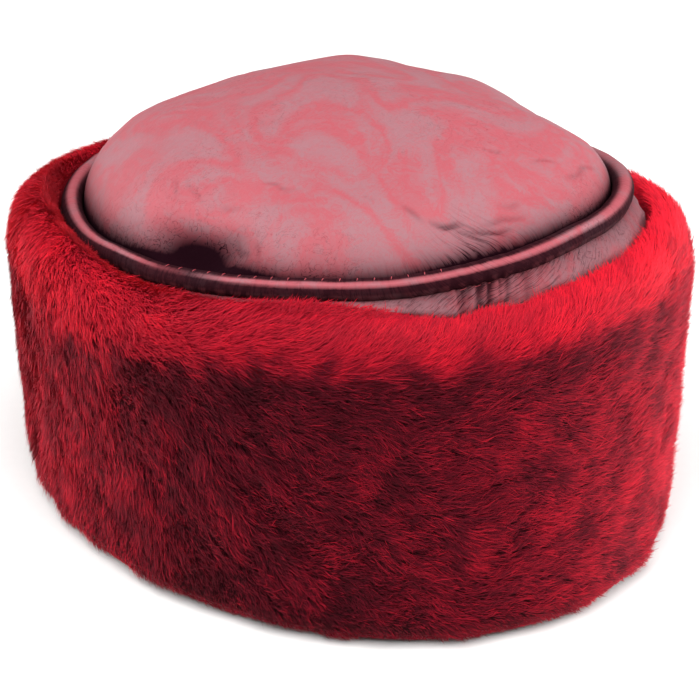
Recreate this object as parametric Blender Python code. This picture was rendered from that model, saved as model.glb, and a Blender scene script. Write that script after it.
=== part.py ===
"""Kubanka: a low round hat with a tall fur band and a padded leather crown.

Metres, +Z up. The hat rests on its lower edge, its long axis runs along Y and the
forehead faces -Y. Every ring of the hat is an oval: a point on it is (half_x * cos(turn),
half_y * sin(turn)), and turn is the angle round the hat from +X.
"""

import math

import bmesh
import bpy
from mathutils import Vector

COLUMNS = 104
PIECE_GAP = 0.0003

# Fur band: outer ovals at the lower edge and at the shoulder, and the way in for the head
FOOT_HALF_X = 0.1005
FOOT_HALF_Y = 0.1280
SHOULDER_HALF_X = 0.1072
SHOULDER_HALF_Y = 0.1188
SHOULDER_SHIFT = (0.0013, -0.0007)
HEAD_HALF_X = 0.0800
HEAD_HALF_Y = 0.1065
FOOT_ROUND = 0.009
FOOT_ROUND_STEPS = 3
WALL_STEPS = 11
SHOULDER_DROP = 0.018
SHOULDER_INSET = 0.013
SHOULDER_STEPS = 6
ROLL_IN_STEPS = 3
HEAD_LEDGE = 0.066

# Height of the rolled top edge of the fur: higher at both sides, lower behind
CREST_HEIGHT = 0.0950
CREST_SIDE_RISE = 0.0040
CREST_FRONT_RISE = 0.0035
SIDE_TURN = math.radians(-24)
FRONT_TURN = math.radians(246)

# Locks of the pile: rounded ridges in staggered tiers, each tip proud of the tier below
LOCK_COLUMNS = 4
LOCK_ROWS = 3
LOCK_DEPTH = 0.0040
LOCK_LEAN = 0.55
LOCK_VARIATION = 0.3
SHOULDER_RELIEF = 0.55

# Piping loop that joins the crown to its side, low at the back left and high at the front right
PIPING_HALF_X = 0.0857
PIPING_HALF_Y = 0.0978
PIPING_RADIUS = 0.0034
PIPING_HEIGHT = 0.0976
PIPING_TILT = 0.0085
PIPING_HIGH_TURN = math.radians(316)
PIPING_SIDES_RESOLUTION = 2

# Where the fur meets the crown's side: further out on the right, where more leather shows
FLARE_MEAN = 0.0060
FLARE_SWING = 0.0026
FLARE_LEAST = 0.0040
FLARE_TURN = math.radians(350)
SEAT_HEIGHT = 0.0930
SEAT_SWING = 0.0020
SEAT_TURN = math.radians(245)

# Crown side: a leather wall from inside the band up to the piping
SIDE_THICKNESS = 0.0020
SIDE_FOOT_HEIGHT = 0.0700

# Crown: a padded leather shell, its highest point a little off the middle
CROWN_THICKNESS = 0.0062
CROWN_RISE = 0.0352
CROWN_FULLNESS = 2.7
CROWN_EDGE_POWER = 0.80
CROWN_DRIFT = (-0.0056, 0.0018)
CROWN_COLUMNS = 72
CROWN_RINGS = 12
CROWN_UNDER_RINGS = 4
CROWN_EDGE_INSET = 0.0040

# Local rises of the fur's top edge, its inner edge and the piping, and how far the piping's
# loop swells: turn in degrees, size in metres (a dip or a pinch is negative), spread in degrees
CREST_FORMS = (
    {"turn": 12, "size": -0.0045, "spread": 24},
    {"turn": 130, "size": -0.0052, "spread": 24},
    {"turn": 205, "size": 0.0012, "spread": 14},
    {"turn": 262, "size": -0.0010, "spread": 9},
)
SEAT_FORMS = (
    {"turn": 262, "size": -0.0030, "spread": 8},
    {"turn": 330, "size": -0.0020, "spread": 14},
)
PIPING_FORMS = (
    {"turn": 12, "size": -0.0045, "spread": 30},
    {"turn": 206, "size": -0.0008, "spread": 8},
    {"turn": 292, "size": 0.0010, "spread": 10},
)
LOOP_FORMS = (
    {"turn": 14, "size": -0.0034, "spread": 26},
    {"turn": 168, "size": -0.0018, "spread": 20},
)

# Dents and puffs of the crown: place as turn in degrees and share of the way out from the
# middle, height (a dent is negative), and how far it spreads round the crown and outwards
CROWN_FORMS = (
    {"turn": 212, "share": 0.91, "height": -0.0062, "round": 0.012, "out": 0.010},
    {"turn": 268, "share": 0.91, "height": -0.0026, "round": 0.024, "out": 0.005},
    {"turn": 243, "share": 0.82, "height": 0.0020, "round": 0.024, "out": 0.012},
    {"turn": 196, "share": 0.84, "height": 0.0014, "round": 0.014, "out": 0.012},
    {"turn": 180, "share": 0.80, "height": 0.0018, "round": 0.022, "out": 0.014},
    {"turn": 148, "share": 0.80, "height": 0.0024, "round": 0.026, "out": 0.018},
    {"turn": 345, "share": 0.90, "height": -0.0030, "round": 0.009, "out": 0.014},
    {"turn": 322, "share": 0.80, "height": 0.0016, "round": 0.020, "out": 0.014},
    {"turn": 12, "share": 0.78, "height": 0.0014, "round": 0.014, "out": 0.014},
    {"turn": 52, "share": 0.76, "height": 0.0020, "round": 0.026, "out": 0.018},
)


def local_forms(forms, turn):
    """Sum of the local rises and dips of a table at one turn."""
    total = 0.0
    for form in forms:
        apart = (math.degrees(turn) - form["turn"] + 180) % 360 - 180
        total += form["size"] * math.exp(-((apart / form["spread"]) ** 2))
    return total


def crest_height(turn):
    """Height of the fur's rolled top edge at one turn."""
    sides = CREST_SIDE_RISE * math.cos(2 * (turn - SIDE_TURN))
    front = CREST_FRONT_RISE * math.cos(turn - FRONT_TURN)
    return CREST_HEIGHT + sides + front + local_forms(CREST_FORMS, turn)


def piping_height(turn):
    """Height of the piping's centre line at one turn."""
    tilt = PIPING_TILT * math.cos(turn - PIPING_HIGH_TURN)
    return PIPING_HEIGHT + tilt + local_forms(PIPING_FORMS, turn)


def loop_half_axes(turn, out=0.0):
    """Half axes of the piping's loop at one turn, or of a loop further out from it."""
    swell = out + local_forms(LOOP_FORMS, turn)
    return PIPING_HALF_X + swell, PIPING_HALF_Y + swell


def flare(turn):
    """How far outside the piping's centre line the fur meets the leather."""
    return max(FLARE_LEAST, FLARE_MEAN + FLARE_SWING * math.cos(turn - FLARE_TURN))


def seat_height(turn):
    """Height where the fur's inner edge meets the crown's side."""
    swing = SEAT_SWING * math.cos(turn - SEAT_TURN)
    return SEAT_HEIGHT + swing + local_forms(SEAT_FORMS, turn)


def mix(start, end, share):
    """The value a share of the way from start to end."""
    return start + (end - start) * share


def ring_point(row, turn):
    """The point of one section row, given as half axes and a height, at one turn."""
    half_x, half_y, height = row
    return Vector((half_x * math.cos(turn), half_y * math.sin(turn), height))


def shift_up_the_wall(height):
    """How far the fur's oval has moved sideways at one height."""
    share = min(1.0, height / (CREST_HEIGHT - SHOULDER_DROP))
    return Vector((SHOULDER_SHIFT[0] * share, SHOULDER_SHIFT[1] * share, 0.0))


def wall_rows(turn):
    """Fur side of the band from the floor up to the crest and in to the leather."""
    crest = crest_height(turn)
    top_of_wall = crest - SHOULDER_DROP
    inner = loop_half_axes(turn, flare(turn))
    rows = [(FOOT_HALF_X - FOOT_ROUND, FOOT_HALF_Y - FOOT_ROUND, 0.0, (0.0, 0.0))]
    for step in range(1, FOOT_ROUND_STEPS + 1):
        angle = math.radians(90 * step / FOOT_ROUND_STEPS)
        inset = FOOT_ROUND * (1 - math.sin(angle))
        height = FOOT_ROUND * (1 - math.cos(angle))
        weight = 0.5 * (step - 1) / FOOT_ROUND_STEPS
        rows.append((FOOT_HALF_X - inset, FOOT_HALF_Y - inset, height, (weight, 0.0)))
    for step in range(1, WALL_STEPS + 1):
        share = step / WALL_STEPS
        rows.append((mix(FOOT_HALF_X, SHOULDER_HALF_X, share),
                     mix(FOOT_HALF_Y, SHOULDER_HALF_Y, share),
                     mix(FOOT_ROUND, top_of_wall, share), (1.0, 0.0)))
    for step in range(1, SHOULDER_STEPS + 1):
        angle = math.radians(90 * step / SHOULDER_STEPS)
        inset = SHOULDER_INSET * (1 - math.cos(angle))
        height = top_of_wall + SHOULDER_DROP * math.sin(angle)
        rows.append((SHOULDER_HALF_X - inset, SHOULDER_HALF_Y - inset, height,
                     (SHOULDER_RELIEF * math.cos(angle), SHOULDER_RELIEF * math.sin(angle))))
    for step in range(1, ROLL_IN_STEPS + 1):
        share = step / ROLL_IN_STEPS
        drop = (crest - seat_height(turn)) * (1 - math.cos(math.radians(90 * share)))
        rows.append((mix(SHOULDER_HALF_X - SHOULDER_INSET, inner[0], share),
                     mix(SHOULDER_HALF_Y - SHOULDER_INSET, inner[1], share),
                     crest - drop, (0.0, SHOULDER_RELIEF * (1 - share))))
    return rows


def pile_share(index):
    """1 on the wall and shoulder, falling to 0 where the fur meets the leather."""
    crest_index = FOOT_ROUND_STEPS + WALL_STEPS + SHOULDER_STEPS
    return min(1.0, max(0.0, 1 - (index - crest_index) / ROLL_IN_STEPS))


def lock_height(column, row):
    """Relief of the locks, 0 in the grooves and 1 on the fullest tips."""
    tier = row // LOCK_ROWS
    along = 1 - (row % LOCK_ROWS) / LOCK_ROWS
    lean = LOCK_LEAN * row * math.sin(math.tau * column / COLUMNS)
    place = (column + lean) / LOCK_COLUMNS + 0.5 * (tier % 2)
    ridge = abs(math.sin(math.pi * place)) ** 0.7
    uneven = math.sin(2.4 * math.floor(place) + 1.7 * tier)
    return ridge * (0.35 + 0.65 * along) * (1 - LOCK_VARIATION * (0.5 + 0.5 * uneven))


def band_section(column):
    """The closed section of the fur band at one column, floor to crest and down the inside."""
    turn = math.tau * column / COLUMNS
    points = [ring_point((HEAD_HALF_X, HEAD_HALF_Y, 0.0), turn)]
    for index, (half_x, half_y, height, (out, up)) in enumerate(wall_rows(turn)):
        relief = LOCK_DEPTH * (lock_height(column, index) - 0.5)
        row = (half_x + relief * out, half_y + relief * out, height + relief * up)
        sideways = shift_up_the_wall(height) * pile_share(index)
        points.append(ring_point(row, turn) + sideways)
    edge = loop_half_axes(turn, flare(turn))
    points.append(ring_point((*edge, HEAD_LEDGE), turn))
    points.append(ring_point((mix(edge[0], HEAD_HALF_X, 0.5),
                              mix(edge[1], HEAD_HALF_Y, 0.5), HEAD_LEDGE / 2), turn))
    return points


def side_section(column):
    """The closed section of the crown's leather side at one column."""
    turn = math.tau * column / COLUMNS
    top = piping_height(turn) - PIPING_RADIUS - PIECE_GAP
    seat = min(seat_height(turn), top - 0.001)
    spread = flare(turn) - PIECE_GAP
    outer = [(spread, SIDE_FOOT_HEIGHT), (spread, seat - 0.002), (spread * 0.86, mix(seat, top, 0.5)),
             (SIDE_THICKNESS / 2, top)]
    inner = [(-SIDE_THICKNESS / 2, top), (spread * 0.86 - SIDE_THICKNESS, mix(seat, top, 0.5) - 0.001),
             (spread - SIDE_THICKNESS, seat - 0.003), (spread - SIDE_THICKNESS, SIDE_FOOT_HEIGHT)]
    rows = [(*loop_half_axes(turn, out), height) for out, height in outer + inner]
    return [ring_point(row, turn) for row in rows]


def crown_relief(turn, share):
    """Height that the dents and puffs add to the crown at one place."""
    place = Vector((PIPING_HALF_X * math.cos(turn), PIPING_HALF_Y * math.sin(turn))) * share
    height = 0.0
    for form in CROWN_FORMS:
        middle_turn = math.radians(form["turn"])
        outward = Vector((PIPING_HALF_X * math.cos(middle_turn), PIPING_HALF_Y * math.sin(middle_turn)))
        apart = place - outward * form["share"]
        out = apart.dot(outward.normalized())
        across = apart.dot(outward.normalized().orthogonal())
        height += form["height"] * math.exp(-((out / form["out"]) ** 2) - (across / form["round"]) ** 2)
    fade = min(1.0, (1 - share) / 0.06)
    return height * fade


def crown_point(turn, share, inset, drop):
    """A point of the crown, its upper face where inset and drop are 0."""
    edge_x, edge_y = loop_half_axes(turn, -PIPING_RADIUS - PIECE_GAP - inset)
    rise = CROWN_RISE * (1 - share ** CROWN_FULLNESS) ** CROWN_EDGE_POWER
    edge = mix(PIPING_HEIGHT, piping_height(turn), share) - 0.0005
    height = edge + rise + crown_relief(turn, share) - drop
    return Vector((CROWN_DRIFT[0] * (1 - share) + edge_x * share * math.cos(turn),
                   CROWN_DRIFT[1] * (1 - share) + edge_y * share * math.sin(turn), height))


def crown_rings():
    """Rings of the crown from the top's middle over the edge to the middle of the underside."""
    turns = [math.tau * column / CROWN_COLUMNS for column in range(CROWN_COLUMNS)]
    rings = []
    for ring in range(1, CROWN_RINGS + 1):
        share = math.sin(math.radians(90 * ring / CROWN_RINGS))
        rings.append([crown_point(turn, share, 0.0, 0.0) for turn in turns])
    rings.append([crown_point(turn, 1.0, 0.0, 0.5 * CROWN_THICKNESS) for turn in turns])
    for ring in range(CROWN_UNDER_RINGS, 0, -1):
        share = math.sin(math.radians(90 * ring / CROWN_UNDER_RINGS))
        rings.append([crown_point(turn, share, CROWN_EDGE_INSET * share, CROWN_THICKNESS) for turn in turns])
    return rings


def make_material(name, red, green, blue, roughness):
    """A Principled material with one colour."""
    material = bpy.data.materials.new(name)
    material.use_nodes = True
    shader = material.node_tree.nodes["Principled BSDF"]
    shader.inputs["Base Color"].default_value = (red, green, blue, 1.0)
    shader.inputs["Roughness"].default_value = roughness
    shader.inputs["Metallic"].default_value = 0.0
    material.diffuse_color = (red, green, blue, 1.0)
    return material


def add_object(name, data, material):
    """Put a mesh or a curve in the scene under its plain name."""
    piece = bpy.data.objects.new(name, data)
    piece.data.materials.append(material)
    bpy.context.scene.collection.objects.link(piece)
    return piece


def finish_mesh(name, shape, material):
    """Turn a bmesh into a smooth object with its faces pointing out."""
    bmesh.ops.recalc_face_normals(shape, faces=shape.faces)
    mesh = bpy.data.meshes.new(name)
    shape.to_mesh(mesh)
    shape.free()
    mesh.shade_smooth()
    mesh.set_sharp_from_angle(angle=math.radians(55))
    return add_object(name, mesh, material)


def loft_round(name, sections, material):
    """Join closed sections, one for each column, into a ring that closes on itself."""
    shape = bmesh.new()
    loops = [[shape.verts.new(point) for point in section] for section in sections]
    rows = len(loops[0])
    for column, loop in enumerate(loops):
        following = loops[(column + 1) % len(loops)]
        for row in range(rows):
            above = (row + 1) % rows
            shape.faces.new((loop[row], following[row], following[above], loop[above]))
    return finish_mesh(name, shape, material)


def make_fur_band():
    """The fur band: pile in locks on its hide, open right through for the head."""
    material = make_material("dyed_fur", 0.45, 0.012, 0.022, 0.9)
    sections = [band_section(column) for column in range(COLUMNS)]
    return loft_round("fur_band", sections, material)


def make_crown_side():
    """The leather wall that carries the crown."""
    material = make_material("side_leather", 0.16, 0.020, 0.030, 0.45)
    sections = [side_section(column) for column in range(COLUMNS)]
    return loft_round("crown_side", sections, material)


def make_crown_piping():
    """The leather-covered piping, a round cord bent to the crown's oval."""
    material = make_material("piping_leather", 0.30, 0.035, 0.050, 0.4)
    curve = bpy.data.curves.new("crown_piping", "CURVE")
    curve.dimensions = "3D"
    curve.bevel_depth = PIPING_RADIUS
    curve.bevel_resolution = PIPING_SIDES_RESOLUTION
    spline = curve.splines.new("POLY")
    spline.points.add(COLUMNS - 1)
    for column, point in enumerate(spline.points):
        turn = math.tau * column / COLUMNS
        place = ring_point((*loop_half_axes(turn), piping_height(turn)), turn)
        point.co = (*place, 1.0)
    spline.use_cyclic_u = True
    return add_object("crown_piping", curve, material)


def make_crown_top():
    """The padded crown: leather over a thin wadding, hollow underneath."""
    material = make_material("marbled_leather", 0.42, 0.075, 0.095, 0.4)
    rings = crown_rings()
    shape = bmesh.new()
    loops = [[shape.verts.new(point) for point in ring] for ring in rings]
    top = shape.verts.new(crown_point(0.0, 0.0, 0.0, 0.0))
    under = shape.verts.new(crown_point(0.0, 0.0, 0.0, CROWN_THICKNESS))
    for column in range(CROWN_COLUMNS):
        following = (column + 1) % CROWN_COLUMNS
        shape.faces.new((top, loops[0][column], loops[0][following]))
        for inner, outer in zip(loops, loops[1:]):
            shape.faces.new((inner[column], outer[column], outer[following], inner[following]))
        shape.faces.new((loops[-1][column], under, loops[-1][following]))
    return finish_mesh("crown_top", shape, material)


def centre_over_origin(pieces, widest):
    """Move all the pieces sideways together, so that the widest one is centred on the origin."""
    for axis in (0, 1):
        places = [vertex.co[axis] for vertex in widest.data.vertices]
        middle = (min(places) + max(places)) / 2
        for piece in pieces:
            piece.location[axis] -= middle


def main():
    """Clear the scene and model the hat."""
    for item in list(bpy.data.objects):
        bpy.data.objects.remove(item, do_unlink=True)
    fur_band = make_fur_band()
    crown = [make_crown_side(), make_crown_piping(), make_crown_top()]
    centre_over_origin([fur_band, *crown], fur_band)


main()
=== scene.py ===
"""Looks of the kubanka: dyed fur pile on its hide, padded marbled crown, gathered piping.

The hat's rings are ovals. turn is the angle round an oval from +X, and share or along is
the way across a surface, from 0 to 1. Lengths are in metres unless a name says otherwise.
"""

import math

import bmesh
import bpy
import numpy as np
from bpy.props import FloatProperty, FloatVectorProperty, IntProperty, PointerProperty
from mathutils import Matrix, Vector


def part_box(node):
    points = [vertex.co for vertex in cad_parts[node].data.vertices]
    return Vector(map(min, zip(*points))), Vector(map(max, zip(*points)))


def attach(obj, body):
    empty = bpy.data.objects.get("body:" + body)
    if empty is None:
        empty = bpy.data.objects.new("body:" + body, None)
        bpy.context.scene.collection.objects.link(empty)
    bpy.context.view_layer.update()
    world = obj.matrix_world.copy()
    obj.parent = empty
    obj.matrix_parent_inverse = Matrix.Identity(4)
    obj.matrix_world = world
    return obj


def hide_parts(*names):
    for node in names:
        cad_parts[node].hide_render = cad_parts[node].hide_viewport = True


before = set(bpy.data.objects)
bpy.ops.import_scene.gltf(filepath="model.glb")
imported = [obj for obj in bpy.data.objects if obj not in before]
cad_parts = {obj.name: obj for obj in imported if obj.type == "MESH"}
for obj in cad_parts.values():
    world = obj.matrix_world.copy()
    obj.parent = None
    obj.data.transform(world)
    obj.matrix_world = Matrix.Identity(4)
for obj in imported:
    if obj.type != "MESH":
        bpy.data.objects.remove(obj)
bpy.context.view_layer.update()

bl_info = {
    "name": "Kubanka Looks",
    "version": (1, 0, 0),
    "blender": (4, 5, 0),
    "location": "3D View > Sidebar > Kubanka",
    "description": "Dresses the solids of a kubanka in fur pile, marbled leather and thread",
    "category": "Object",
}

BODY = "root"
TAU = math.tau
# A step small enough to read a slope from, as a turn in radians or a share of the way
SMALL_STEP = 1e-3


def table(columns, *rows):
    """A table's rows, each a dictionary keyed by the names of the columns."""
    return [dict(zip(columns.split(), row)) for row in rows]


# Fur band: the ovals of its foot and shoulder, and the way in for the head
FOOT_HALF_AXES = (0.1005, 0.1280)
SHOULDER_HALF_AXES = (0.1072, 0.1188)
SHOULDER_SHIFT = (0.0013, -0.0007)
HEAD_HALF_AXES = (0.0800, 0.1065)
HEAD_LEDGE = 0.066
FOOT_ROUND = 0.009
SHOULDER_DROP = 0.018
SHOULDER_INSET = 0.013
BAND_ROUND = 0.72
BAND_ACROSS = 0.118

# The rolled top edge of the fur
CREST_HEIGHT = 0.0950
CREST_SIDE_RISE = 0.0040
CREST_FRONT_RISE = 0.0035
SIDE_TURN = math.radians(-24)
FRONT_TURN = math.radians(246)

# The piping's loop and the fur's inner edge beside it
PIPING_HALF_AXES = (0.0857, 0.0978)
PIPING_RADIUS = 0.0034
PIPING_HEIGHT = 0.0976
PIPING_TILT = 0.0085
PIPING_HIGH_TURN = math.radians(316)
PIECE_GAP = 0.0003
# The middle of the solid piping's box from above, in the ovals' own frame
PIPING_MIDDLE = (-0.000585, 0.0)
FLARE_MEAN = 0.0060
FLARE_SWING = 0.0026
FLARE_LEAST = 0.0040
FLARE_TURN = math.radians(350)
SEAT_HEIGHT = 0.0930
SEAT_SWING = 0.0020
SEAT_TURN = math.radians(245)
SIDE_THICKNESS = 0.0020
SIDE_FOOT_HEIGHT = 0.0700

# The padded crown
CROWN_THICKNESS = 0.0062
CROWN_RISE = 0.0352
CROWN_FULLNESS = 2.2
CROWN_ROLL_SHARPNESS = 46
CROWN_ROLL_POWER = 0.55
CROWN_EDGE_DROP = 0.0005
CROWN_DRIFT = (-0.0056, 0.0018)
CROWN_EDGE_INSET = 0.0040
CROWN_MEAN_RADIUS = 0.0915

# Local rises and dips: turn in degrees, size in metres, spread in degrees
CREST_FORMS = table(
    "turn size spread",
    (12, -0.0056, 24),
    (130, -0.0032, 24),
    (202, -0.0036, 15),
    (262, -0.0010, 9),
)
SEAT_FORMS = table(
    "turn size spread",
    (150, -0.0030, 30),
    (198, -0.0015, 14),
    (239, 0.0026, 13),
    (262, -0.0030, 8),
    (330, -0.0020, 14),
)
PIPING_FORMS = table(
    "turn size spread",
    (12, -0.0055, 28),
    (34, -0.0024, 20),
    (195, 0.0007, 9),
    (206, -0.0003, 8),
    (253, -0.0009, 12),
    (292, 0.0010, 10),
)
LOOP_FORMS = table(
    "turn size spread",
    (14, -0.0034, 26),
    (168, -0.0018, 20),
    (346, -0.0028, 17),
)

# Dents and puffs of the crown: turn in degrees, share of the way out, height in metres,
# and how far each spreads round the crown and outwards
CROWN_FORMS = table(
    "turn share height round out",
    (214, 0.88, -0.0022, 0.014, 0.010),
    (268, 0.91, -0.0012, 0.024, 0.006),
    (243, 0.82, 0.0020, 0.024, 0.012),
    (196, 0.84, 0.0014, 0.014, 0.012),
    (180, 0.80, 0.0018, 0.022, 0.014),
    (148, 0.80, 0.0024, 0.026, 0.018),
    (345, 0.90, -0.0030, 0.009, 0.014),
    (322, 0.80, 0.0016, 0.020, 0.014),
    (12, 0.78, 0.0014, 0.014, 0.014),
    (28, 0.76, 0.0046, 0.034, 0.024),
    (62, 0.74, 0.0026, 0.022, 0.018),
    (102, 0.76, 0.0016, 0.026, 0.020),
    (132, 0.86, 0.0016, 0.030, 0.015),
)

# The pocket where the crown's rolled edge has fallen in: turn in degrees, share of the way
# out, how far it spreads round and outwards in metres, its depth below the roll, and how
# far inwards the tip of its painted shade runs
POCKET = {"turn": 210.5, "share": 0.965, "round": 0.0205, "out": 0.0078, "depth": 0.0030,
          "tip": 0.0086}

# Creases on the crown: turn in degrees and share of the way out at both
# ends, depth and half width in metres
CROWN_CREASES = table(
    "start end depth width",
    ((264, 0.870), (271, 0.898), 0.0008, 0.0008),
    ((272, 0.915), (279, 0.950), 0.0006, 0.0010),
    ((268, 0.905), (273, 0.960), 0.0005, 0.0009),
    ((275, 0.900), (284, 0.935), 0.0003, 0.0009),
    ((281, 0.880), (286, 0.900), 0.0002, 0.0009),
    ((258, 0.820), (262, 0.865), 0.0003, 0.0009),
    ((249, 0.755), (252, 0.765), 0.0002, 0.0009),
    ((290, 0.690), (297, 0.725), 0.0003, 0.0009),
    ((300, 0.800), (307, 0.845), 0.0003, 0.0009),
    ((304, 0.900), (318, 0.950), 0.0003, 0.0010),
    ((222, 0.705), (232, 0.725), 0.0003, 0.0009),
    ((195, 0.790), (200, 0.850), 0.0002, 0.0009),
    ((199, 0.780), (208, 0.810), 0.0002, 0.0009),
    ((213, 0.800), (219, 0.810), 0.0002, 0.0009),
    ((219, 0.885), (223, 0.930), 0.0002, 0.0008),
    ((224, 0.900), (226, 0.950), 0.0002, 0.0008),
)

# How the crown meets its seam: turn in degrees, share of the gathers' full depth, how far
# they run in, in metres, how far they drift round for each length that they run in, the
# height of the rolled edge in metres, and how much painted shade darkens the leather towards the seam
CROWN_SEAM = table(
    "turn strength reach slant roll shade",
    (0, 0.15, 0.008, 0.0, 0.0068, 0.20),
    (90, 0.15, 0.008, 0.0, 0.0076, 0.20),
    (170, 0.08, 0.006, 0.0, 0.0076, 0.20),
    (198, 0.14, 0.008, 0.2, 0.0070, 0.22),
    (220, 0.30, 0.009, -0.4, 0.0056, 0.34),
    (232, 0.08, 0.005, 0.0, 0.0040, 0.20),
    (252, 0.12, 0.007, 0.2, 0.0036, 0.26),
    (261, 0.25, 0.010, 0.8, 0.0038, 0.36),
    (270, 1.00, 0.016, 1.1, 0.0042, 0.42),
    (277, 0.40, 0.012, 1.0, 0.0046, 0.32),
    (286, 0.10, 0.007, 0.5, 0.0050, 0.24),
    (330, 0.10, 0.007, 0.0, 0.0056, 0.12),
)

# The crown's side below the piping: turn in degrees, share of the folds' full depth, and how much
# painted shade darkens the leather
SIDE_FOLDS = table(
    "turn strength shade",
    (0, 0.30, 0.36),
    (130, 0.30, 0.75),
    (200, 0.30, 0.60),
    (228, 0.45, 0.30),
    (250, 0.60, 0.20),
    (268, 1.00, 0.30),
    (284, 0.70, 0.34),
    (300, 0.25, 0.34),
    (330, 0.20, 0.36),
)

# The piping's painted highlight, a line where its painted shade is left off: turn in degrees,
# how far up its section from level and half its width in degrees, and how strong it is, from 0 to 1
PIPING_PAINTED_HIGHLIGHT = table(
    "turn up half clean",
    (0, 104, 42, 0.72),
    (66, 118, 42, 0.72),
    (130, 104, 36, 0.80),
    (185, 74, 19, 1.00),
    (200, 68, 14, 0.95),
    (208, 62, 14, 0.30),
    (214, 58, 14, 0.20),
    (222, 54, 16, 0.95),
    (235, 50, 16, 1.00),
    (262, 47, 16, 1.00),
    (295, 54, 20, 0.90),
    (330, 84, 38, 0.78),
)

# The way that the pile lies: turn in degrees, its climb from level in degrees on the wall
# and over the roll, where level points towards a greater turn, how much further over it lies
# on the roll in degrees, how much brighter its dye is painted there beside the rest, as painted
# light on the band's sides, and where the painted-lit crest starts, as a share of the way to the leather
PILE_FLOW = table(
    "turn climb roll lie red crest",
    (0, 6, 35, 0, 1.50, 0.700),
    (60, -10, 20, 0, 1.30, 0.700),
    (110, -26, 0, 1, 1.30, 0.690),
    (150, -30, -20, 2, 1.60, 0.650),
    (185, -38, -30, 3, 1.85, 0.625),
    (200, -38, -24, 3, 1.55, 0.635),
    (215, -24, 0, 1, 0.92, 0.662),
    (230, -8, 28, 0, 0.84, 0.690),
    (245, 0, 50, 0, 0.92, 0.700),
    (260, 4, 58, 0, 1.06, 0.700),
    (275, 9, 52, 0, 1.30, 0.698),
    (290, 15, 46, 0, 1.62, 0.695),
    (305, 20, 42, 0, 1.84, 0.690),
    (325, 18, 40, 0, 1.92, 0.695),
)

# The camera's place as the photograph shows it: the turn from the hat's front, the climb
# from level, and the distance from a point at this height on the hat's axis
VIEW_TURN = math.radians(24.33)
VIEW_CLIMB = math.radians(23.24)
VIEW_DISTANCE = 0.753
VIEW_HEIGHT = 0.0406
VIEW_YAW = math.radians(0.25)
VIEW_ROLL = math.radians(0.51)


def linear(hex_colour):
    """Linear red, green and blue of an sRGB colour written as rrggbb."""
    channels = [int(hex_colour[place:place + 2], 16) / 255 for place in (0, 2, 4)]
    return tuple(c / 12.92 if c <= 0.04045 else ((c + 0.055) / 1.055) ** 2.4 for c in channels)


def colour_property(name, description, hex_colour):
    """A colour that the panel shows, with its default given in sRGB."""
    return FloatVectorProperty(name=name, description=description, subtype="COLOR",
                               size=3, min=0.0, max=1.0, default=linear(hex_colour))


def length_property(name, description, default):
    """A length that the panel shows, in metres."""
    return FloatProperty(name=name, description=description, default=default, min=0.0,
                         precision=5, unit="LENGTH")


class KubankaFur(bpy.types.PropertyGroup):
    """Sizes and colours of the fur band."""

    depth: length_property("Pile depth", "How far the skin lies under the tips", 0.0031)
    hair_width: length_property("Hair width", "Width of a hair half way up", 0.00022)
    tuft_spacing: length_property("Tuft spacing", "Distance between tufts", 0.0028)
    lock_relief: length_property("Lock relief", "Height of the large locks", 0.0006)
    pieces: IntProperty(name="Pieces", description="Pieces that share the pile", default=6, min=1)
    columns: IntProperty(name="Columns", description="Hairs round one piece", default=256, min=8)
    rows: IntProperty(name="Rows", description="Hairs up one piece", default=250, min=8)
    root: colour_property("Root colour", "Dye at the skin", "1c0409")
    middle: colour_property("Middle colour", "Dye half way up a hair", "5e091b")
    tip: colour_property("Tip colour", "Dye at the tips", "b01428")
    # The bright colour shows where light is painted: on the crest and on the band's sides
    bright: colour_property("Bright colour", "Dye of the brightest tips", "e0162b")
    hide: colour_property("Hide colour", "Flesh side of the hide", "8a4a46")


class KubankaLeather(bpy.types.PropertyGroup):
    """Sizes and colours of the leather and the thread."""

    gather_depth: length_property("Gather depth", "Depth of the gathers at the seam", 0.00045)
    slackness: length_property("Slackness", "Soft unevenness of the padding", 0.00030)
    patch_size: length_property("Patch size", "Size of the marbling's patches", 0.030)
    grain_size: length_property("Grain size", "Width of a pebble of the grain", 0.0011)
    wrinkle_pitch: length_property("Wrinkle pitch", "Distance between fine wrinkles", 0.0012)
    stitch_pitch: length_property("Stitch pitch", "Distance from stitch to stitch", 0.0050)
    thread_radius: length_property("Thread radius", "Half the thread's thickness", 0.00015)
    red: colour_property("Red", "Ground dye of the leather", "a24b54")
    rose: colour_property("Rose", "Top dye, rubbed away in bands", "926168")
    # The dark colour does both: dark dye in the break lines, and painted shade in creases, folds,
    # wrinkles, seams, the pocket and the piping
    dark: colour_property("Dark", "Dye that gathers in creases and seams", "18050c")
    thread: colour_property("Thread", "Sewing thread", "b43c48")


class KubankaStudio(bpy.types.PropertyGroup):
    """Camera, light and floor."""

    lens: FloatProperty(name="Lens", description="Focal length in millimetres", default=118.29,
                        min=1.0, subtype="DISTANCE_CAMERA")
    back_power: FloatProperty(name="Back light", description="Broad light behind the hat",
                              default=0.5, min=0.0, unit="POWER")
    top_power: FloatProperty(name="Top light", description="Soft light over the hat",
                             default=35.5, min=0.0, unit="POWER")
    left_power: FloatProperty(name="Left light", description="Soft light behind on the left",
                              default=21.5, min=0.0, unit="POWER")
    right_power: FloatProperty(name="Right light", description="Soft light on the right",
                               default=26.5, min=0.0, unit="POWER")
    sky: FloatProperty(name="Room light", description="Even light of the room", default=0.23,
                       min=0.0)
    floor: colour_property("Floor", "Colour of the floor", "f2f1f0")


def mix(start, end, share):
    """The value a share of the way from start to end."""
    return start + (end - start) * share


def degrees_apart(turn, other):
    """Signed difference of two turns in degrees, from -180 to 180."""
    return (np.degrees(turn) - other + 180) % 360 - 180


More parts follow.
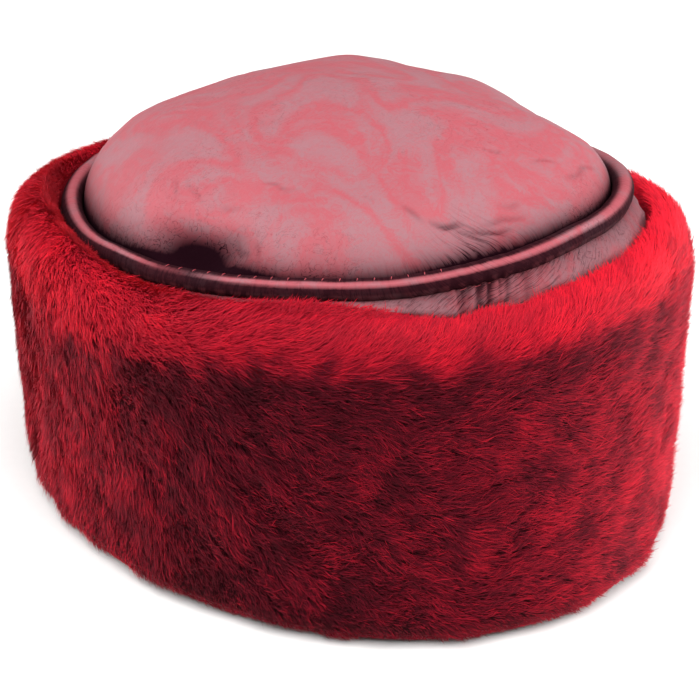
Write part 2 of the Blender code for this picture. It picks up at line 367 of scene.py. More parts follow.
def local_forms(forms, turn):
    """Sum of the local rises and dips of a table, for an array of turns."""
    total = np.zeros_like(turn)
    for form in forms:
        total += form["size"] * np.exp(-((degrees_apart(turn, form["turn"]) / form["spread"]) ** 2))
    return total


def from_table(rows, column, turn):
    """A column of a table that is keyed by turn, read all the way round."""
    known = [row["turn"] for row in rows]
    values = [row[column] for row in rows]
    return np.interp(np.degrees(turn) % 360, known, values, period=360)


def profile(knots, share):
    """A value that changes with the share of the way, read off pairs of a share and a value."""
    shares, values = zip(*knots)
    return np.interp(share, shares, values)


def waves(turn, along, seed, count, finest):
    """Soft unevenness of about unit size that closes on itself round the hat."""
    rng = np.random.default_rng(seed)
    total = np.zeros(np.broadcast(turn, along).shape)
    for _ in range(count):
        around = rng.integers(1, finest + 1)
        across = rng.uniform(-1.0, 1.0) * finest
        total += np.sin(around * turn + across * along + rng.uniform(0, TAU))
    return total * math.sqrt(2 / count)


def normalized(vectors):
    """Vectors of length 1."""
    return vectors / np.maximum(np.linalg.norm(vectors, axis=-1, keepdims=True), 1e-12)


def crest_height(turn):
    """Height of the fur's rolled top edge."""
    sides = CREST_SIDE_RISE * np.cos(2 * (turn - SIDE_TURN))
    front = CREST_FRONT_RISE * np.cos(turn - FRONT_TURN)
    return CREST_HEIGHT + sides + front + local_forms(CREST_FORMS, turn)


def piping_height(turn):
    """Height of the piping's centre line."""
    tilt = PIPING_TILT * np.cos(turn - PIPING_HIGH_TURN)
    return PIPING_HEIGHT + tilt + local_forms(PIPING_FORMS, turn)


def flare(turn):
    """How far outside the piping's centre line the fur meets the leather."""
    return np.maximum(FLARE_LEAST, FLARE_MEAN + FLARE_SWING * np.cos(turn - FLARE_TURN))


def seat_height(turn):
    """Height where the fur's inner edge meets the crown's side."""
    return SEAT_HEIGHT + SEAT_SWING * np.cos(turn - SEAT_TURN) + local_forms(SEAT_FORMS, turn)


def oval(half_axes, turn, height, out=0.0):
    """Points on an oval, or on one a distance further out, at given heights."""
    across = (half_axes[0] + out) * np.cos(turn)
    along = (half_axes[1] + out) * np.sin(turn)
    return np.stack(np.broadcast_arrays(across, along, height), axis=-1)


def piping_loop(turn, height, out=0.0):
    """Points on the piping's loop, or on a loop further out from it."""
    return oval(PIPING_HALF_AXES, turn, height, out + local_forms(LOOP_FORMS, turn))


def hat_offset():
    """How far the frame's hat lies from these ovals' own centre, read off its piping."""
    low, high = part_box("crown_piping")
    return np.array([(low[axis] + high[axis]) / 2 - PIPING_MIDDLE[axis] for axis in (0, 1)] + [0.0])


HAT_OFFSET = hat_offset()


# Meshes from arrays


def new_piece(name, points, faces, material):
    """A smooth mesh object in the hat's frame, from points and arrays of faces of one size each."""
    mesh = bpy.data.meshes.new(name)
    mesh.vertices.add(len(points))
    mesh.vertices.foreach_set("co", np.ascontiguousarray(points + HAT_OFFSET, np.float32).ravel())
    corners = np.concatenate([group.ravel() for group in faces]).astype(np.int32)
    counts = np.concatenate([np.full(len(group), group.shape[1]) for group in faces])
    starts = np.concatenate([[0], np.cumsum(counts)[:-1]]).astype(np.int32)
    mesh.loops.add(len(corners))
    mesh.loops.foreach_set("vertex_index", corners)
    mesh.polygons.add(len(counts))
    mesh.polygons.foreach_set("loop_start", starts)
    mesh.polygons.foreach_set("use_smooth", np.ones(len(counts), bool))
    mesh.update(calc_edges=True)
    mesh.materials.append(material)
    piece = bpy.data.objects.new(name, mesh)
    bpy.context.scene.collection.objects.link(piece)
    return piece


def face_outwards(piece):
    """Turn the faces of a closed piece so that they point out."""
    shape = bmesh.new()
    shape.from_mesh(piece.data)
    bmesh.ops.recalc_face_normals(shape, faces=shape.faces)
    shape.to_mesh(piece.data)
    shape.free()


def set_point_values(piece, name, values):
    """Store one number for each point of a piece."""
    layer = piece.data.attributes.new(name, "FLOAT", "POINT")
    layer.data.foreach_set("value", np.ascontiguousarray(values, np.float32).ravel())


def set_point_vectors(piece, name, vectors):
    """Store one vector for each point of a piece."""
    layer = piece.data.attributes.new(name, "FLOAT_VECTOR", "POINT")
    layer.data.foreach_set("vector", np.ascontiguousarray(vectors, np.float32).ravel())


def add_map(piece, corner_places):
    """A UV map that lays each face of a piece in its own place."""
    layer = piece.data.uv_layers.new(name="OFBake")
    layer.uv.foreach_set("vector", np.ascontiguousarray(corner_places, np.float32).ravel())


def ring_faces(columns, rows):
    """Quads of a ring of closed sections, stored section by section, and their corners' map."""
    column, row = np.meshgrid(np.arange(columns), np.arange(rows), indexing="ij")
    column, row = column.ravel(), row.ravel()
    next_column, next_row = (column + 1) % columns, (row + 1) % rows
    quads = np.stack([column * rows + row, next_column * rows + row,
                      next_column * rows + next_row, column * rows + next_row], axis=1)
    across = np.stack([column, column + 1, column + 1, column], axis=1) / columns
    up = np.stack([row, row, row + 1, row + 1], axis=1) / rows
    return quads, np.stack([across, up], axis=-1)


def make_ring(name, sections, material):
    """A closed ring piece through an array of closed sections."""
    columns, rows = sections.shape[:2]
    quads, places = ring_faces(columns, rows)
    piece = new_piece(name, sections.reshape(-1, 3), [quads], material)
    add_map(piece, places)
    face_outwards(piece)
    return piece


def fit_to_hat(piece, slot, *nodes):
    """Make a finished piece ride on the hat and hide the nodes that it stands for; slot is not used."""
    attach(piece, BODY)
    if nodes:
        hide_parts(*nodes)


# Materials


def add_node(tree, kind, inputs=None, **settings):
    """Add a shader node with its properties and its inputs.

    An input is a value, the socket that feeds it, or a node that feeds it by its first output.
    """
    node = tree.nodes.new("ShaderNode" + kind)
    for name, setting in settings.items():
        setattr(node, name, setting)
    for socket, given in (inputs or {}).items():
        if isinstance(given, (bpy.types.Node, bpy.types.NodeSocket)):
            tree.links.new(getattr(given, "outputs", [given])[0], node.inputs[socket])
        else:
            node.inputs[socket].default_value = given
    return node


def add_maths(tree, operation, *terms, **settings):
    """Add a math node, whose terms are numbers, nodes or sockets."""
    return add_node(tree, "Math", dict(enumerate(terms)), operation=operation, **settings)


def add_noise(tree, place, size, detail, roughness=0.5, distortion=0.0):
    """Add noise whose forms have a size in metres."""
    return add_node(tree, "TexNoise", {"Vector": place, "Scale": 1 / size, "Detail": detail,
                                       "Roughness": roughness, "Distortion": distortion})


def add_range(tree, source, low, high, start=0.0, end=1.0, **settings):
    """Map a value, low to high, onto start to end, and hold it between them."""
    return add_node(tree, "MapRange", {"Value": source, "From Min": low, "From Max": high,
                                       "To Min": start, "To Max": end}, **settings)


def add_hairlines(tree, noise, low, strength):
    """Thin lines where noise passes its middle, from 0 at low up to a strength."""
    return add_range(tree, add_maths(tree, "PINGPONG", noise, 0.5), low, 0.5, 0.0, strength)


def add_ramp(tree, source, *stops):
    """Add a ramp of colours, given as pairs of a place and a colour."""
    node = add_node(tree, "ValToRGB", {0: source})
    elements = node.color_ramp.elements
    for end in (0, -1):
        elements[end].position = stops[end][0]
        elements[end].color = (*stops[end][1], 1.0)
    for place, colour in stops[1:-1]:
        elements.new(place).color = (*colour, 1.0)
    return node


def add_blend(tree, share, first, second):
    """Blend two colours, each with an alpha or fed by a node or socket, and give the socket."""
    return add_node(tree, "Mix", {0: share, 6: first, 7: second}, data_type="RGBA").outputs[2]


def add_surface(tree, inputs):
    """Add the material's shader and its output."""
    add_node(tree, "OutputMaterial", {0: add_node(tree, "BsdfPrincipled", inputs)})


def object_place(tree):
    """Places in the piece's own frame, in metres."""
    return add_node(tree, "TexCoord").outputs["Object"]


def point_value(tree, name, output="Fac"):
    """What the points of a piece carry under a name."""
    return add_node(tree, "Attribute", attribute_name=name).outputs[output]


def scaled(colour, share):
    """Red, green and blue of a colour, each times a share."""
    return [channel * share for channel in colour]


def new_material(name, preview):
    """An empty node material, with the colour that a plain viewport shows."""
    material = bpy.data.materials.new(name)
    material.use_nodes = True
    material.node_tree.nodes.clear()
    material.diffuse_color = (*preview, 1.0)
    return material, material.node_tree


def dyed_pile_material(fur):
    """Dyed shearling: each hair is black red at the skin and saturated red at its tip."""
    material, tree = new_material("dyed_shearling_pile", fur.tip)
    share, tone, crest = (point_value(tree, name) for name in ("hair_share", "hair_tone", "crest"))
    # The dye is deepest in the underfur, so a hair grows redder towards its tip
    reach = add_maths(tree, "POWER", share, 1.3)
    lit = add_maths(tree, "MULTIPLY", reach, tone)
    # The crest is painted lit: there a hair's dye is brighter from root to tip, standing in for the top
    # light on the rolled edge
    crest_painted_light = add_maths(tree, "MULTIPLY_ADD", reach, 0.06, 0.38)
    dye = add_maths(tree, "MULTIPLY_ADD", crest_painted_light, crest, lit, use_clamp=True)
    colour = add_ramp(tree, dye, (0.0, fur.root), (0.30, fur.middle), (0.66, fur.tip),
                      (1.0, fur.bright))
    add_surface(tree, {"Base Color": colour, "Roughness": 0.62, "Specular IOR Level": 0.08,
                       "Sheen Weight": 0.60, "Sheen Roughness": 0.40,
                       "Sheen Tint": (1.0, 0.09, 0.13, 1.0)})
    return material


def underfur_material(fur):
    """Underfur at the skin: matted dyed wool, almost black, painted lighter red under the crest as
    painted light.
    """
    material, tree = new_material("matted_underfur", fur.root)
    # Wool mats in knots of about 1.2 mm
    wool = add_noise(tree, object_place(tree), 0.0012, 3.0)
    colour = add_ramp(tree, wool, (0.35, fur.root), (0.70, scaled(fur.middle, 0.35)))
    # Painted light: under the crest the underfur is blended towards a lighter red
    crest_lit_underfur = add_blend(tree, point_value(tree, "crest"), colour, (*scaled(fur.tip, 0.65), 1.0))
    add_surface(tree, {"Base Color": crest_lit_underfur, "Roughness": 0.95, "Specular IOR Level": 0.1})
    return material


def hide_material(fur):
    """Chrome-tanned hide, flesh side: a short buffed nap with cloudy dye."""
    material, tree = new_material("napped_hide", fur.hide)
    place = object_place(tree)
    # Nap of about 1.2 mm, under clouds of 14 mm left by buffing
    nap = add_noise(tree, place, 0.0012, 4.0)
    cloud = add_noise(tree, place, 0.014, 3.0)
    blend = add_maths(tree, "MULTIPLY_ADD", nap, 0.45, cloud)
    colour = add_ramp(tree, blend, (0.52, scaled(fur.hide, 0.55)), (0.95, fur.hide))
    bump = add_node(tree, "Bump", {"Height": nap, "Strength": 0.5, "Distance": 0.0003})
    add_surface(tree, {"Base Color": colour, "Roughness": 0.92, "Specular IOR Level": 0.15,
                       "Sheen Weight": 0.25, "Normal": bump})
    return material


# The part of the pattern that the marbling shows: its start in metres and its turn in degrees.
# A scale under 1 draws the bands out along the hat, the way that the rubbing pad went.
MARBLING_START = (0.4, 0.3, 0.0)
MARBLING_TURN = 35
MARBLING_SCALE = (1.0, 0.66, 1.0)
# Sizes of the finish's crackle, of the break lines' wandering and of the worn places
CRACKLE_SIZE = 0.0022
BREAK_SIZE = 0.0042
WEAR_SIZE = 0.040
# How much streaks and crackle shift the edge of a band, the edge's level in leather that is
# rubbed half bare, how far the level moves from none rubbed to all, and half the edge's width
STREAK_SHIFT = 0.16
CRACKLE_SHIFT = 0.03
BAND_EDGE = 0.548
BAND_EDGE_MOVE = 0.11
BAND_SOFTNESS = 0.100
# Noise has its crests about this many times its size apart
CREST_DISTANCE = 1.7


def rubbed_dye(tree, place, leather, rubbed):
    """Colour of the leather, and how far its rose top dye is rubbed away, from 0 to 1."""
    # The bands wind round islands of the patch size
    dragged = add_node(tree, "Mapping", {"Vector": place, "Location": MARBLING_START,
                                         "Rotation": (0.0, 0.0, math.radians(MARBLING_TURN)),
                                         "Scale": MARBLING_SCALE})
    islands = add_noise(tree, dragged, leather.patch_size, 3.0, 0.5, 1.1)
    banks = add_maths(tree, "PINGPONG", islands, 0.5)
    # Streaks where the pad skipped are a quarter of the patch size
    streaks = add_noise(tree, place, leather.patch_size / 4, 4.0, 0.6, 1.8)
    # The finish's crackle frays the edges of the bands
    crackle = add_noise(tree, place, CRACKLE_SIZE, 3.0, 0.6, 1.0)
    frayed = add_maths(tree, "MULTIPLY_ADD", crackle, CRACKLE_SHIFT, banks)
    rubbing = add_maths(tree, "MULTIPLY_ADD", streaks, STREAK_SHIFT, frayed)
    # The more is rubbed away, the sooner the red shows, with soft edges
    edge = BAND_EDGE + BAND_EDGE_MOVE * (0.5 - rubbed)
    bands = add_range(tree, rubbing, edge - BAND_SOFTNESS, edge + BAND_SOFTNESS,
                      interpolation_type="SMOOTHSTEP")
    # Thin lines of red run along the streaks and in the crackle
    lined = add_maths(tree, "ADD", add_hairlines(tree, streaks, 0.465, 0.42),
                      add_hairlines(tree, crackle, 0.462, 0.32))
    shown = add_maths(tree, "ADD", bands, lined, use_clamp=True)
    return add_blend(tree, shown, (*leather.rose, 1.0), (*leather.red, 1.0)), shown


def shade_and_break_lines(tree, breaks, wear, wrinkles, slack):
    """How dark a place is painted: painted shade in its wrinkles and folds, and dark dye in its break
    lines.
    """
    worn = add_range(tree, wear, 0.46, 0.62)
    lines = add_hairlines(tree, breaks, 0.484, 0.27)
    # The crease values carry painted shade, given with each piece
    folds = add_maths(tree, "MULTIPLY_ADD", lines, worn, point_value(tree, "crease"))
    # Painted shade in the valleys of the fine wrinkles
    valley_shade = add_range(tree, wrinkles, 0.49, 0.34, 0.0, 0.52)
    return add_maths(tree, "MULTIPLY_ADD", valley_shade, slack, folds)


def leather_relief(tree, place, leather, breaks, wrinkles, slack):
    """Bumps of the grain's pebbles, of the break lines and of the gathered wrinkles."""
    pebbles = add_node(tree, "TexVoronoi", {"Vector": place, "Scale": 1 / leather.grain_size},
                       feature="SMOOTH_F1")
    # Hair cells are a third of a pebble's size
    cells = add_noise(tree, place, leather.grain_size / 3, 3.0)
    grain = add_maths(tree, "MULTIPLY_ADD", cells, 0.5, pebbles)
    pebbled = add_node(tree, "Bump", {"Height": grain, "Strength": 0.30, "Distance": 0.00025})
    broken = add_node(tree, "Bump", {"Height": breaks, "Strength": 0.42, "Distance": 0.0005,
                                     "Normal": pebbled})
    pulled = add_maths(tree, "MULTIPLY", wrinkles, slack)
    return add_node(tree, "Bump", {"Height": pulled, "Strength": 0.6, "Distance": 0.0005,
                                   "Normal": broken})


def marbled_leather_material(name, leather, rubbed, shade_strength):
    """Aniline sheepskin, drum-dyed red, its rose top dye rubbed away in winding bands.

    rubbed is the share that shows red; the last argument is how dark the painted shade goes.
    """
    material, tree = new_material(name, leather.red)
    place = object_place(tree)
    dyed, shown = rubbed_dye(tree, place, leather, rubbed)
    # Fine wrinkles run in from the seam where the leather is gathered
    slack = point_value(tree, "gathered")
    wrinkles = add_noise(tree, point_value(tree, "seam_place", "Vector"),
                         leather.wrinkle_pitch / CREST_DISTANCE, 2.0, 0.5, 0.4)
    # Break lines wander over worn places and hold a little dark dye
    breaks = add_noise(tree, place, BREAK_SIZE, 4.0, 0.55, 1.2)
    wear = add_noise(tree, place, WEAR_SIZE, 2.0)
    # Painted shade darkens the folds, wrinkles, creases, seams and pocket, and dark dye the break lines
    depth = shade_and_break_lines(tree, breaks, wear, wrinkles, slack)
    painted_shade = add_range(tree, depth, 0.03, 0.95, 0.0, shade_strength)
    colour = add_blend(tree, painted_shade, dyed, (*leather.dark, 1.0))
    # Rubbed places are polished a little by the pad
    polish = add_range(tree, shown, 0.0, 1.0, 0.60, 0.53)
    # Where shade is painted the leather is also rougher and shines less, so that it stays dark
    dulled = add_maths(tree, "MULTIPLY_ADD", painted_shade, 0.35, polish)
    shine = add_range(tree, painted_shade, 0.0, 1.0, 0.24, 0.02)
    relief = leather_relief(tree, place, leather, breaks, wrinkles, slack)
    add_surface(tree, {"Base Color": colour, "Roughness": dulled, "Specular IOR Level": shine,
                       "Normal": relief})
    return material


def thread_material(leather):
    """Bonded polyester thread: twisted, a little glossy."""
    material, tree = new_material("bonded_thread", leather.thread)
    # The ply's twist of about 0.6 mm
    twist = add_node(tree, "TexWave", {"Vector": object_place(tree), "Scale": 1 / 0.0006,
                                       "Distortion": 1.5}, bands_direction="DIAGONAL")
    colour = add_ramp(tree, twist.outputs[1], (0.2, scaled(leather.thread, 0.6)),
                      (0.8, leather.thread))
    add_surface(tree, {"Base Color": colour, "Roughness": 0.45})
    return material


def floor_material(studio):
    """Matt painted board, almost white, with a faint tooth."""
    material, tree = new_material("matt_painted_board", studio.floor)
    # Roller marks of about 4 mm
    tooth = add_noise(tree, object_place(tree), 0.004, 2.0)
    colour = add_ramp(tree, tooth, (0.3, scaled(studio.floor, 0.985)), (0.7, studio.floor))
    add_surface(tree, {"Base Color": colour, "Roughness": 0.9, "Specular IOR Level": 0.1})
    return material


# Fur band


# Where the parts of the pile's section end, as shares of the way from the floor to the leather
FOOT_END = 0.11
WALL_END = 0.68
SHOULDER_END = 0.90
# How soon the darker wall has given way to the crest's painted light
CREST_BLEND = 0.062
# Tiers of large locks up the band, and locks round it
LOCK_TIERS = 7
LOCKS_ROUND = 26
# Along the section, as pairs of a share of the way and a value: how deep the skin lies beside
# the rest, how far a hair leans in degrees, how far it strays from the pile's way in radians,
# how much its tuft tells, and how bright the wall's dye is painted, with painted shade most under the
# shoulder
SKIN_DEPTH = ((0, 0.35), (0.08, 0.7), (0.2, 1.0), (0.85, 1.0), (1.0, 0.40))
HAIR_LEAN = ((0, 38), (0.10, 48), (0.30, 53), (0.62, 53), (0.70, 54), (0.76, 56), (0.84, 56),
             (0.93, 52), (1.0, 46))
HAIR_STRAY = ((0.60, 0.28), (0.80, 0.22), (0.93, 0.28), (1.0, 0.48))
TUFT_PULL = ((0.58, 1.0), (0.72, 0.45))
WALL_SHADE = ((0, 0.95), (0.10, 1.0), (0.30, 1.08), (0.55, 0.98), (0.68, 0.82))
# One hair in 25 stands above the pile by the first height, the others lie below it by up to
# the second, and none stands lower off the skin than the third
LONG_HAIRS = 0.04
LONG_HAIR_HEIGHT = 0.0007
UNEVEN_HEIGHT = 0.0014
LEAST_HEIGHT = 0.0014
HAIR_CRIMP = 0.00022
# How far the pile's lie wanders in radians, slowly and again closely, and over the roll
WALL_WANDER = 0.17
ROLL_WANDER = 0.16
# How much lower the pile lies at the floor than up the wall, in radians, and up to what
# share of the way. The foot's own hairs hang down, up to its share.
LOW_LIE = 0.16
LOW_LIE_END = 0.60
FOOT_CLIMB = math.radians(-72)
FOOT_CLIMB_END = 0.10
# Where the wall's lie starts to turn into the roll's, and the share of the way that it takes
TURN_START = 0.62
TURN_REACH = 0.22
# Beside its width, how far a tuft reaches the way that the pile lies
TUFT_LENGTH = 1.9
# Where a hair bends: shares of its height, of its reach and of its tuft's pull
BEND_HEIGHT = 0.60
BEND_REACH = 0.36
BEND_PULL = 0.35


def pile_surface(turn, along):
    """Points at the tips of the pile: the foot's round, the wall, the shoulder and the roll in."""
    crest = crest_height(turn)
    wall_top = crest - SHOULDER_DROP
    foot_angle = np.clip(along / FOOT_END, 0, 1) * TAU / 4
    wall_share = np.clip((along - FOOT_END) / (WALL_END - FOOT_END), 0, 1)
    shoulder_angle = np.clip((along - WALL_END) / (SHOULDER_END - WALL_END), 0, 1) * TAU / 4
    roll_share = np.clip((along - SHOULDER_END) / (1 - SHOULDER_END), 0, 1)
    inset = FOOT_ROUND * (1 - np.sin(foot_angle)) + SHOULDER_INSET * (1 - np.cos(shoulder_angle))
    height = FOOT_ROUND * (1 - np.cos(foot_angle)) + wall_share * (wall_top - FOOT_ROUND)
    height += SHOULDER_DROP * np.sin(shoulder_angle)
    half_axes = [mix(FOOT_HALF_AXES[axis], SHOULDER_HALF_AXES[axis], wall_share) - inset
                 for axis in (0, 1)]
    points = oval(half_axes, turn, height)
    shift = np.clip(height / (CREST_HEIGHT - SHOULDER_DROP), 0, 1)
    points[..., 0] += SHOULDER_SHIFT[0] * shift
    points[..., 1] += SHOULDER_SHIFT[1] * shift
    drop = (crest - seat_height(turn)) * (1 - np.cos(roll_share * TAU / 4))
    points = mix(points, piping_loop(turn, height, flare(turn)), roll_share[..., None])
    points[..., 2] -= drop
    return points


def pile_frame(turn, along):
    """Points of the pile's surface, and its directions out, round and up the section."""
    here = pile_surface(turn, along)
    round_way = normalized(pile_surface(turn + SMALL_STEP, along) - here)
    first = np.minimum(along, 1 - SMALL_STEP)
    up_way = normalized(pile_surface(turn, first + SMALL_STEP) - pile_surface(turn, first))
    out = normalized(np.cross(round_way, up_way))
    up_way = normalized(np.cross(out, round_way))
    return here, out, round_way, up_way


def skin_depth(along, depth):
    """How deep the skin lies: less at the foot, least where the fur meets the leather."""
    return depth * profile(SKIN_DEPTH, along)


def lock_relief(turn, along):
    """Relief of the large locks, from 0 to 1: rounded ridges in staggered, leaning tiers."""
    tiers = LOCK_TIERS * along
    tier = np.floor(tiers)
    place = LOCKS_ROUND * turn / TAU + 0.5 * (tier % 2) + 0.9 * along * np.sin(turn)
    ridge = np.abs(np.sin(math.pi * place)) ** 0.7
    return ridge * (0.35 + 0.65 * np.sqrt(1 - (tiers - tier)))


def pile_climb(turn, along):
    """The way that the pile lies, as its climb from level in radians."""
    climb = np.radians(from_table(PILE_FLOW, "climb", turn))
    climb += (WALL_WANDER * waves(turn, along, seed=5, count=12, finest=14)
              + WALL_WANDER * waves(turn, along, seed=8, count=24, finest=50))
    climb -= LOW_LIE * np.clip(1 - along / LOW_LIE_END, 0, 1)
    over = np.radians(from_table(PILE_FLOW, "roll", turn))
    over = over + ROLL_WANDER * waves(turn, along, seed=6, count=12, finest=24)
    climb = mix(climb, over, np.clip((along - TURN_START) / TURN_REACH, 0, 1))
    return mix(climb, FOOT_CLIMB, 0.85 * np.clip(1 - along / FOOT_CLIMB_END, 0, 1))


def nearest_tuft(turn, along, spacing):
    """For each hair, the tuft that it leans to, out of long tufts strewn over an uneven grid."""
    columns = int(BAND_ROUND / spacing)
    rows = int(BAND_ACROSS / spacing)
    rng = np.random.default_rng(7)
    shake = rng.random((2, columns, rows))
    middle_turn = (np.arange(columns)[:, None] + shake[0]) / columns * TAU
    middle_along = (np.arange(rows)[None, :] + shake[1]) / rows
    climb = pile_climb(middle_turn, middle_along)
    home_column = np.floor(turn / TAU * columns).astype(int)
    home_row = np.floor(along * rows).astype(int)
    best = np.full(len(turn), np.inf)
    best_column = np.zeros(len(turn), int)
    best_row = np.zeros(len(turn), int)
    for step_round in range(-2, 3):
        for step_up in range(-2, 3):
            column = (home_column + step_round) % columns
            row = np.clip(home_row + step_up, 0, rows - 1)
            across = (turn - middle_turn[column, row] + math.pi) % TAU - math.pi
            across *= BAND_ROUND / TAU
            up = (along - middle_along[column, row]) * BAND_ACROSS
            with_flow = across * np.cos(climb[column, row]) + up * np.sin(climb[column, row])
            off_flow = up * np.cos(climb[column, row]) - across * np.sin(climb[column, row])
            distance = (with_flow / TUFT_LENGTH) ** 2 + off_flow ** 2
            nearer = distance < best
            best = np.where(nearer, distance, best)
            best_column = np.where(nearer, column, best_column)
            best_row = np.where(nearer, row, best_row)
    picked = (best_column, best_row)
    apart = (turn - middle_turn[picked] + math.pi) % TAU - math.pi
    return {"turn": turn - apart, "along": middle_along[picked],
            "pull": rng.uniform(0.0, 0.30, (columns, rows))[picked],
            "swing": rng.normal(0, 0.22, (columns, rows))[picked],
            "length": rng.normal(0, 1, (columns, rows))[picked],
            "tone": rng.normal(0, 1, (columns, rows))[picked]}


def hair_lie(turn, along, tuft, rng):
    """The way that each hair lies, as its climb from level, and how far it leans, in radians."""
    # Over the roll the pile opens, so its tufts part less, and near the leather it is ruffled
    climb = pile_climb(turn, along) + profile(TUFT_PULL, along) * tuft["swing"]
    climb += profile(HAIR_STRAY, along) * rng.normal(0, 1, len(turn))
    lean = np.radians(profile(HAIR_LEAN, along))
    lean += np.radians(from_table(PILE_FLOW, "lie", turn)) * np.clip((along - 0.55) / 0.15, 0, 1)
    lean += rng.normal(0, 0.13, len(turn)) + 0.04 * tuft["tone"]
    return climb, lean


def hair_height(turn, along, tuft, fur, rng):
    """How far each hair's tip stands off the skin: in locks and tufts, with a few long hairs."""
    relief = fur.lock_relief * (lock_relief(turn, along) - 0.6)
    relief += profile(TUFT_PULL, along) * (0.0005 * waves(turn, along, seed=3, count=24, finest=40)
                                           + 0.0002 * tuft["length"])
    uneven = np.where(rng.random(len(turn)) < LONG_HAIRS, LONG_HAIR_HEIGHT,
                      -UNEVEN_HEIGHT * rng.random(len(turn)) ** 2)
    return np.maximum(skin_depth(along, fur.depth) + relief + uneven, LEAST_HEIGHT)


def hair_tones(turn, along, tuft, rng):
    """How bright each hair's dye is, with painted light and shade in it, and how far it belongs to the
    painted-lit crest, both from 0 to 1.
    """
    patch = (0.11 * waves(turn, along, seed=11, count=30, finest=34)
             + 0.09 * waves(turn, along, seed=13, count=40, finest=90))
    # Painted light and shade: the band's sides are painted brighter by the red column, and the wall
    # darker under the shoulder by WALL_SHADE
    tone = 0.43 * from_table(PILE_FLOW, "red", turn) + 0.16 * rng.normal(0, 1, len(turn))
    tone *= (0.95 + patch + 0.10 * tuft["tone"]) * profile(WALL_SHADE, along)
    ragged = along + 0.012 * waves(turn, along, seed=17, count=30, finest=70) + 0.010 * tuft["tone"]
    crest = np.clip((ragged - from_table(PILE_FLOW, "crest", turn)) / CREST_BLEND, 0, 1)
    return np.clip(tone, 0.10, 1.0), crest


def grow_hairs(fur, first_turn, last_turn, seed):
    """Hairs of one piece of the pile: the places of each, the way it faces, and its tones."""
    rng = np.random.default_rng(seed)
    column, row = np.meshgrid(np.arange(fur.columns), np.arange(fur.rows), indexing="ij")
    column, row = column.ravel(), row.ravel()
    count = len(column)
    turn = mix(first_turn, last_turn, (column + rng.random(count)) / fur.columns)
    along = (row + rng.random(count)) / fur.rows
    surface, out, round_way, up_way = pile_frame(turn, along)
    root = surface - out * skin_depth(along, fur.depth)[:, None]
    tuft = nearest_tuft(turn, along, fur.tuft_spacing)
    climb, lean = hair_lie(turn, along, tuft, rng)
    way = np.cos(climb)[:, None] * round_way + np.sin(climb)[:, None] * up_way
    across = np.cross(out, way)
    tall = hair_height(turn, along, tuft, fur, rng)
    far = tall * np.tan(np.clip(lean, 0.2, 1.2))

    pulled = profile(TUFT_PULL, along)
    pull = (pile_surface(tuft["turn"], tuft["along"]) - surface) * (pulled * tuft["pull"])[:, None]
    pull -= out * np.sum(pull * out, axis=1, keepdims=True)
    crimp = HAIR_CRIMP * pulled * rng.normal(0, 1, count)
    middle = root + out * (BEND_HEIGHT * tall)[:, None] + way * (BEND_REACH * far)[:, None]
    middle += BEND_PULL * pull + across * crimp[:, None]
    tip = root + out * tall[:, None] + way * far[:, None] + pull

    spin = rng.uniform(-0.9, 0.9, count)
    width = fur.hair_width * rng.uniform(0.7, 1.3, count)
    half = (across * np.cos(spin)[:, None] + out * np.sin(spin)[:, None]) * (width / 2)[:, None]
    places = np.stack([root, middle - half, middle + half, tip], axis=1)
    # No hair reaches into the surface that the hat stands on
    places[..., 2] = np.maximum(places[..., 2], 0.0003 + 0.0006 * rng.random(count)[:, None])
    # A pile shades as one soft surface, so a hair faces mostly the way that the pile does
    own = normalized(np.cross(tip - root, half))
    tone, crest = hair_tones(turn, along, tuft, rng)
    return {"places": places, "facing": normalized(0.85 * out + 0.26 * own), "tone": tone,
            "crest": crest, "column": column / fur.columns, "row": row / fur.rows}


def hairs_to_piece(name, hairs, fur, material):
    """One mesh of slender bent blades, each with its own cell of the UV map."""
    count = len(hairs["tone"])
    first = np.arange(count)[:, None] * 4
    stems = first + np.array([[0, 1, 2]])
    tips = first + np.array([[1, 3, 2]])
    piece = new_piece(name, hairs["places"].reshape(-1, 3), [stems, tips], material)
    set_point_values(piece, "hair_share", np.tile([0.0, 0.58, 0.58, 1.0], count))
    set_point_values(piece, "hair_tone", np.repeat(hairs["tone"], 4))
    set_point_values(piece, "crest", np.repeat(hairs["crest"], 4))
    set_point_vectors(piece, "custom_normal", np.repeat(hairs["facing"], 4, axis=0))
    cell_across = np.array([0.5, 0.08, 0.92, 0.08, 0.5, 0.92]) / fur.columns
    cell_up = np.array([0.06, 0.55, 0.55, 0.55, 0.94, 0.55]) / fur.rows
    corner_across = hairs["column"][:, None] + cell_across
    corner_up = hairs["row"][:, None] + cell_up
    corners = np.stack([corner_across, corner_up], axis=-1)
    add_map(piece, np.concatenate([corners[:, :3].reshape(-1, 2), corners[:, 3:].reshape(-1, 2)]))
    return piece


class KUBANKA_OT_pile(bpy.types.Operator):
    """Grow the dyed fur pile over the band."""

    bl_idname = "kubanka.pile"
    bl_label = "Fur Pile"

    def execute(self, context):
        fur = context.scene.kubanka_fur
        material = dyed_pile_material(fur)
        for number in range(fur.pieces):
            first, last = (TAU * side / fur.pieces for side in (number, number + 1))
            hairs = grow_hairs(fur, first, last, 100 + number)
            piece = hairs_to_piece(f"fur_pile_{number + 1}", hairs, fur, material)
            fit_to_hat(piece, "dyed_fur")
        return {"FINISHED"}


HIDE_COLUMNS = 220
# Rows of points up the skin outside, and down the flesh side within
HIDE_ROWS = 36
HIDE_INNER_ROWS = 10


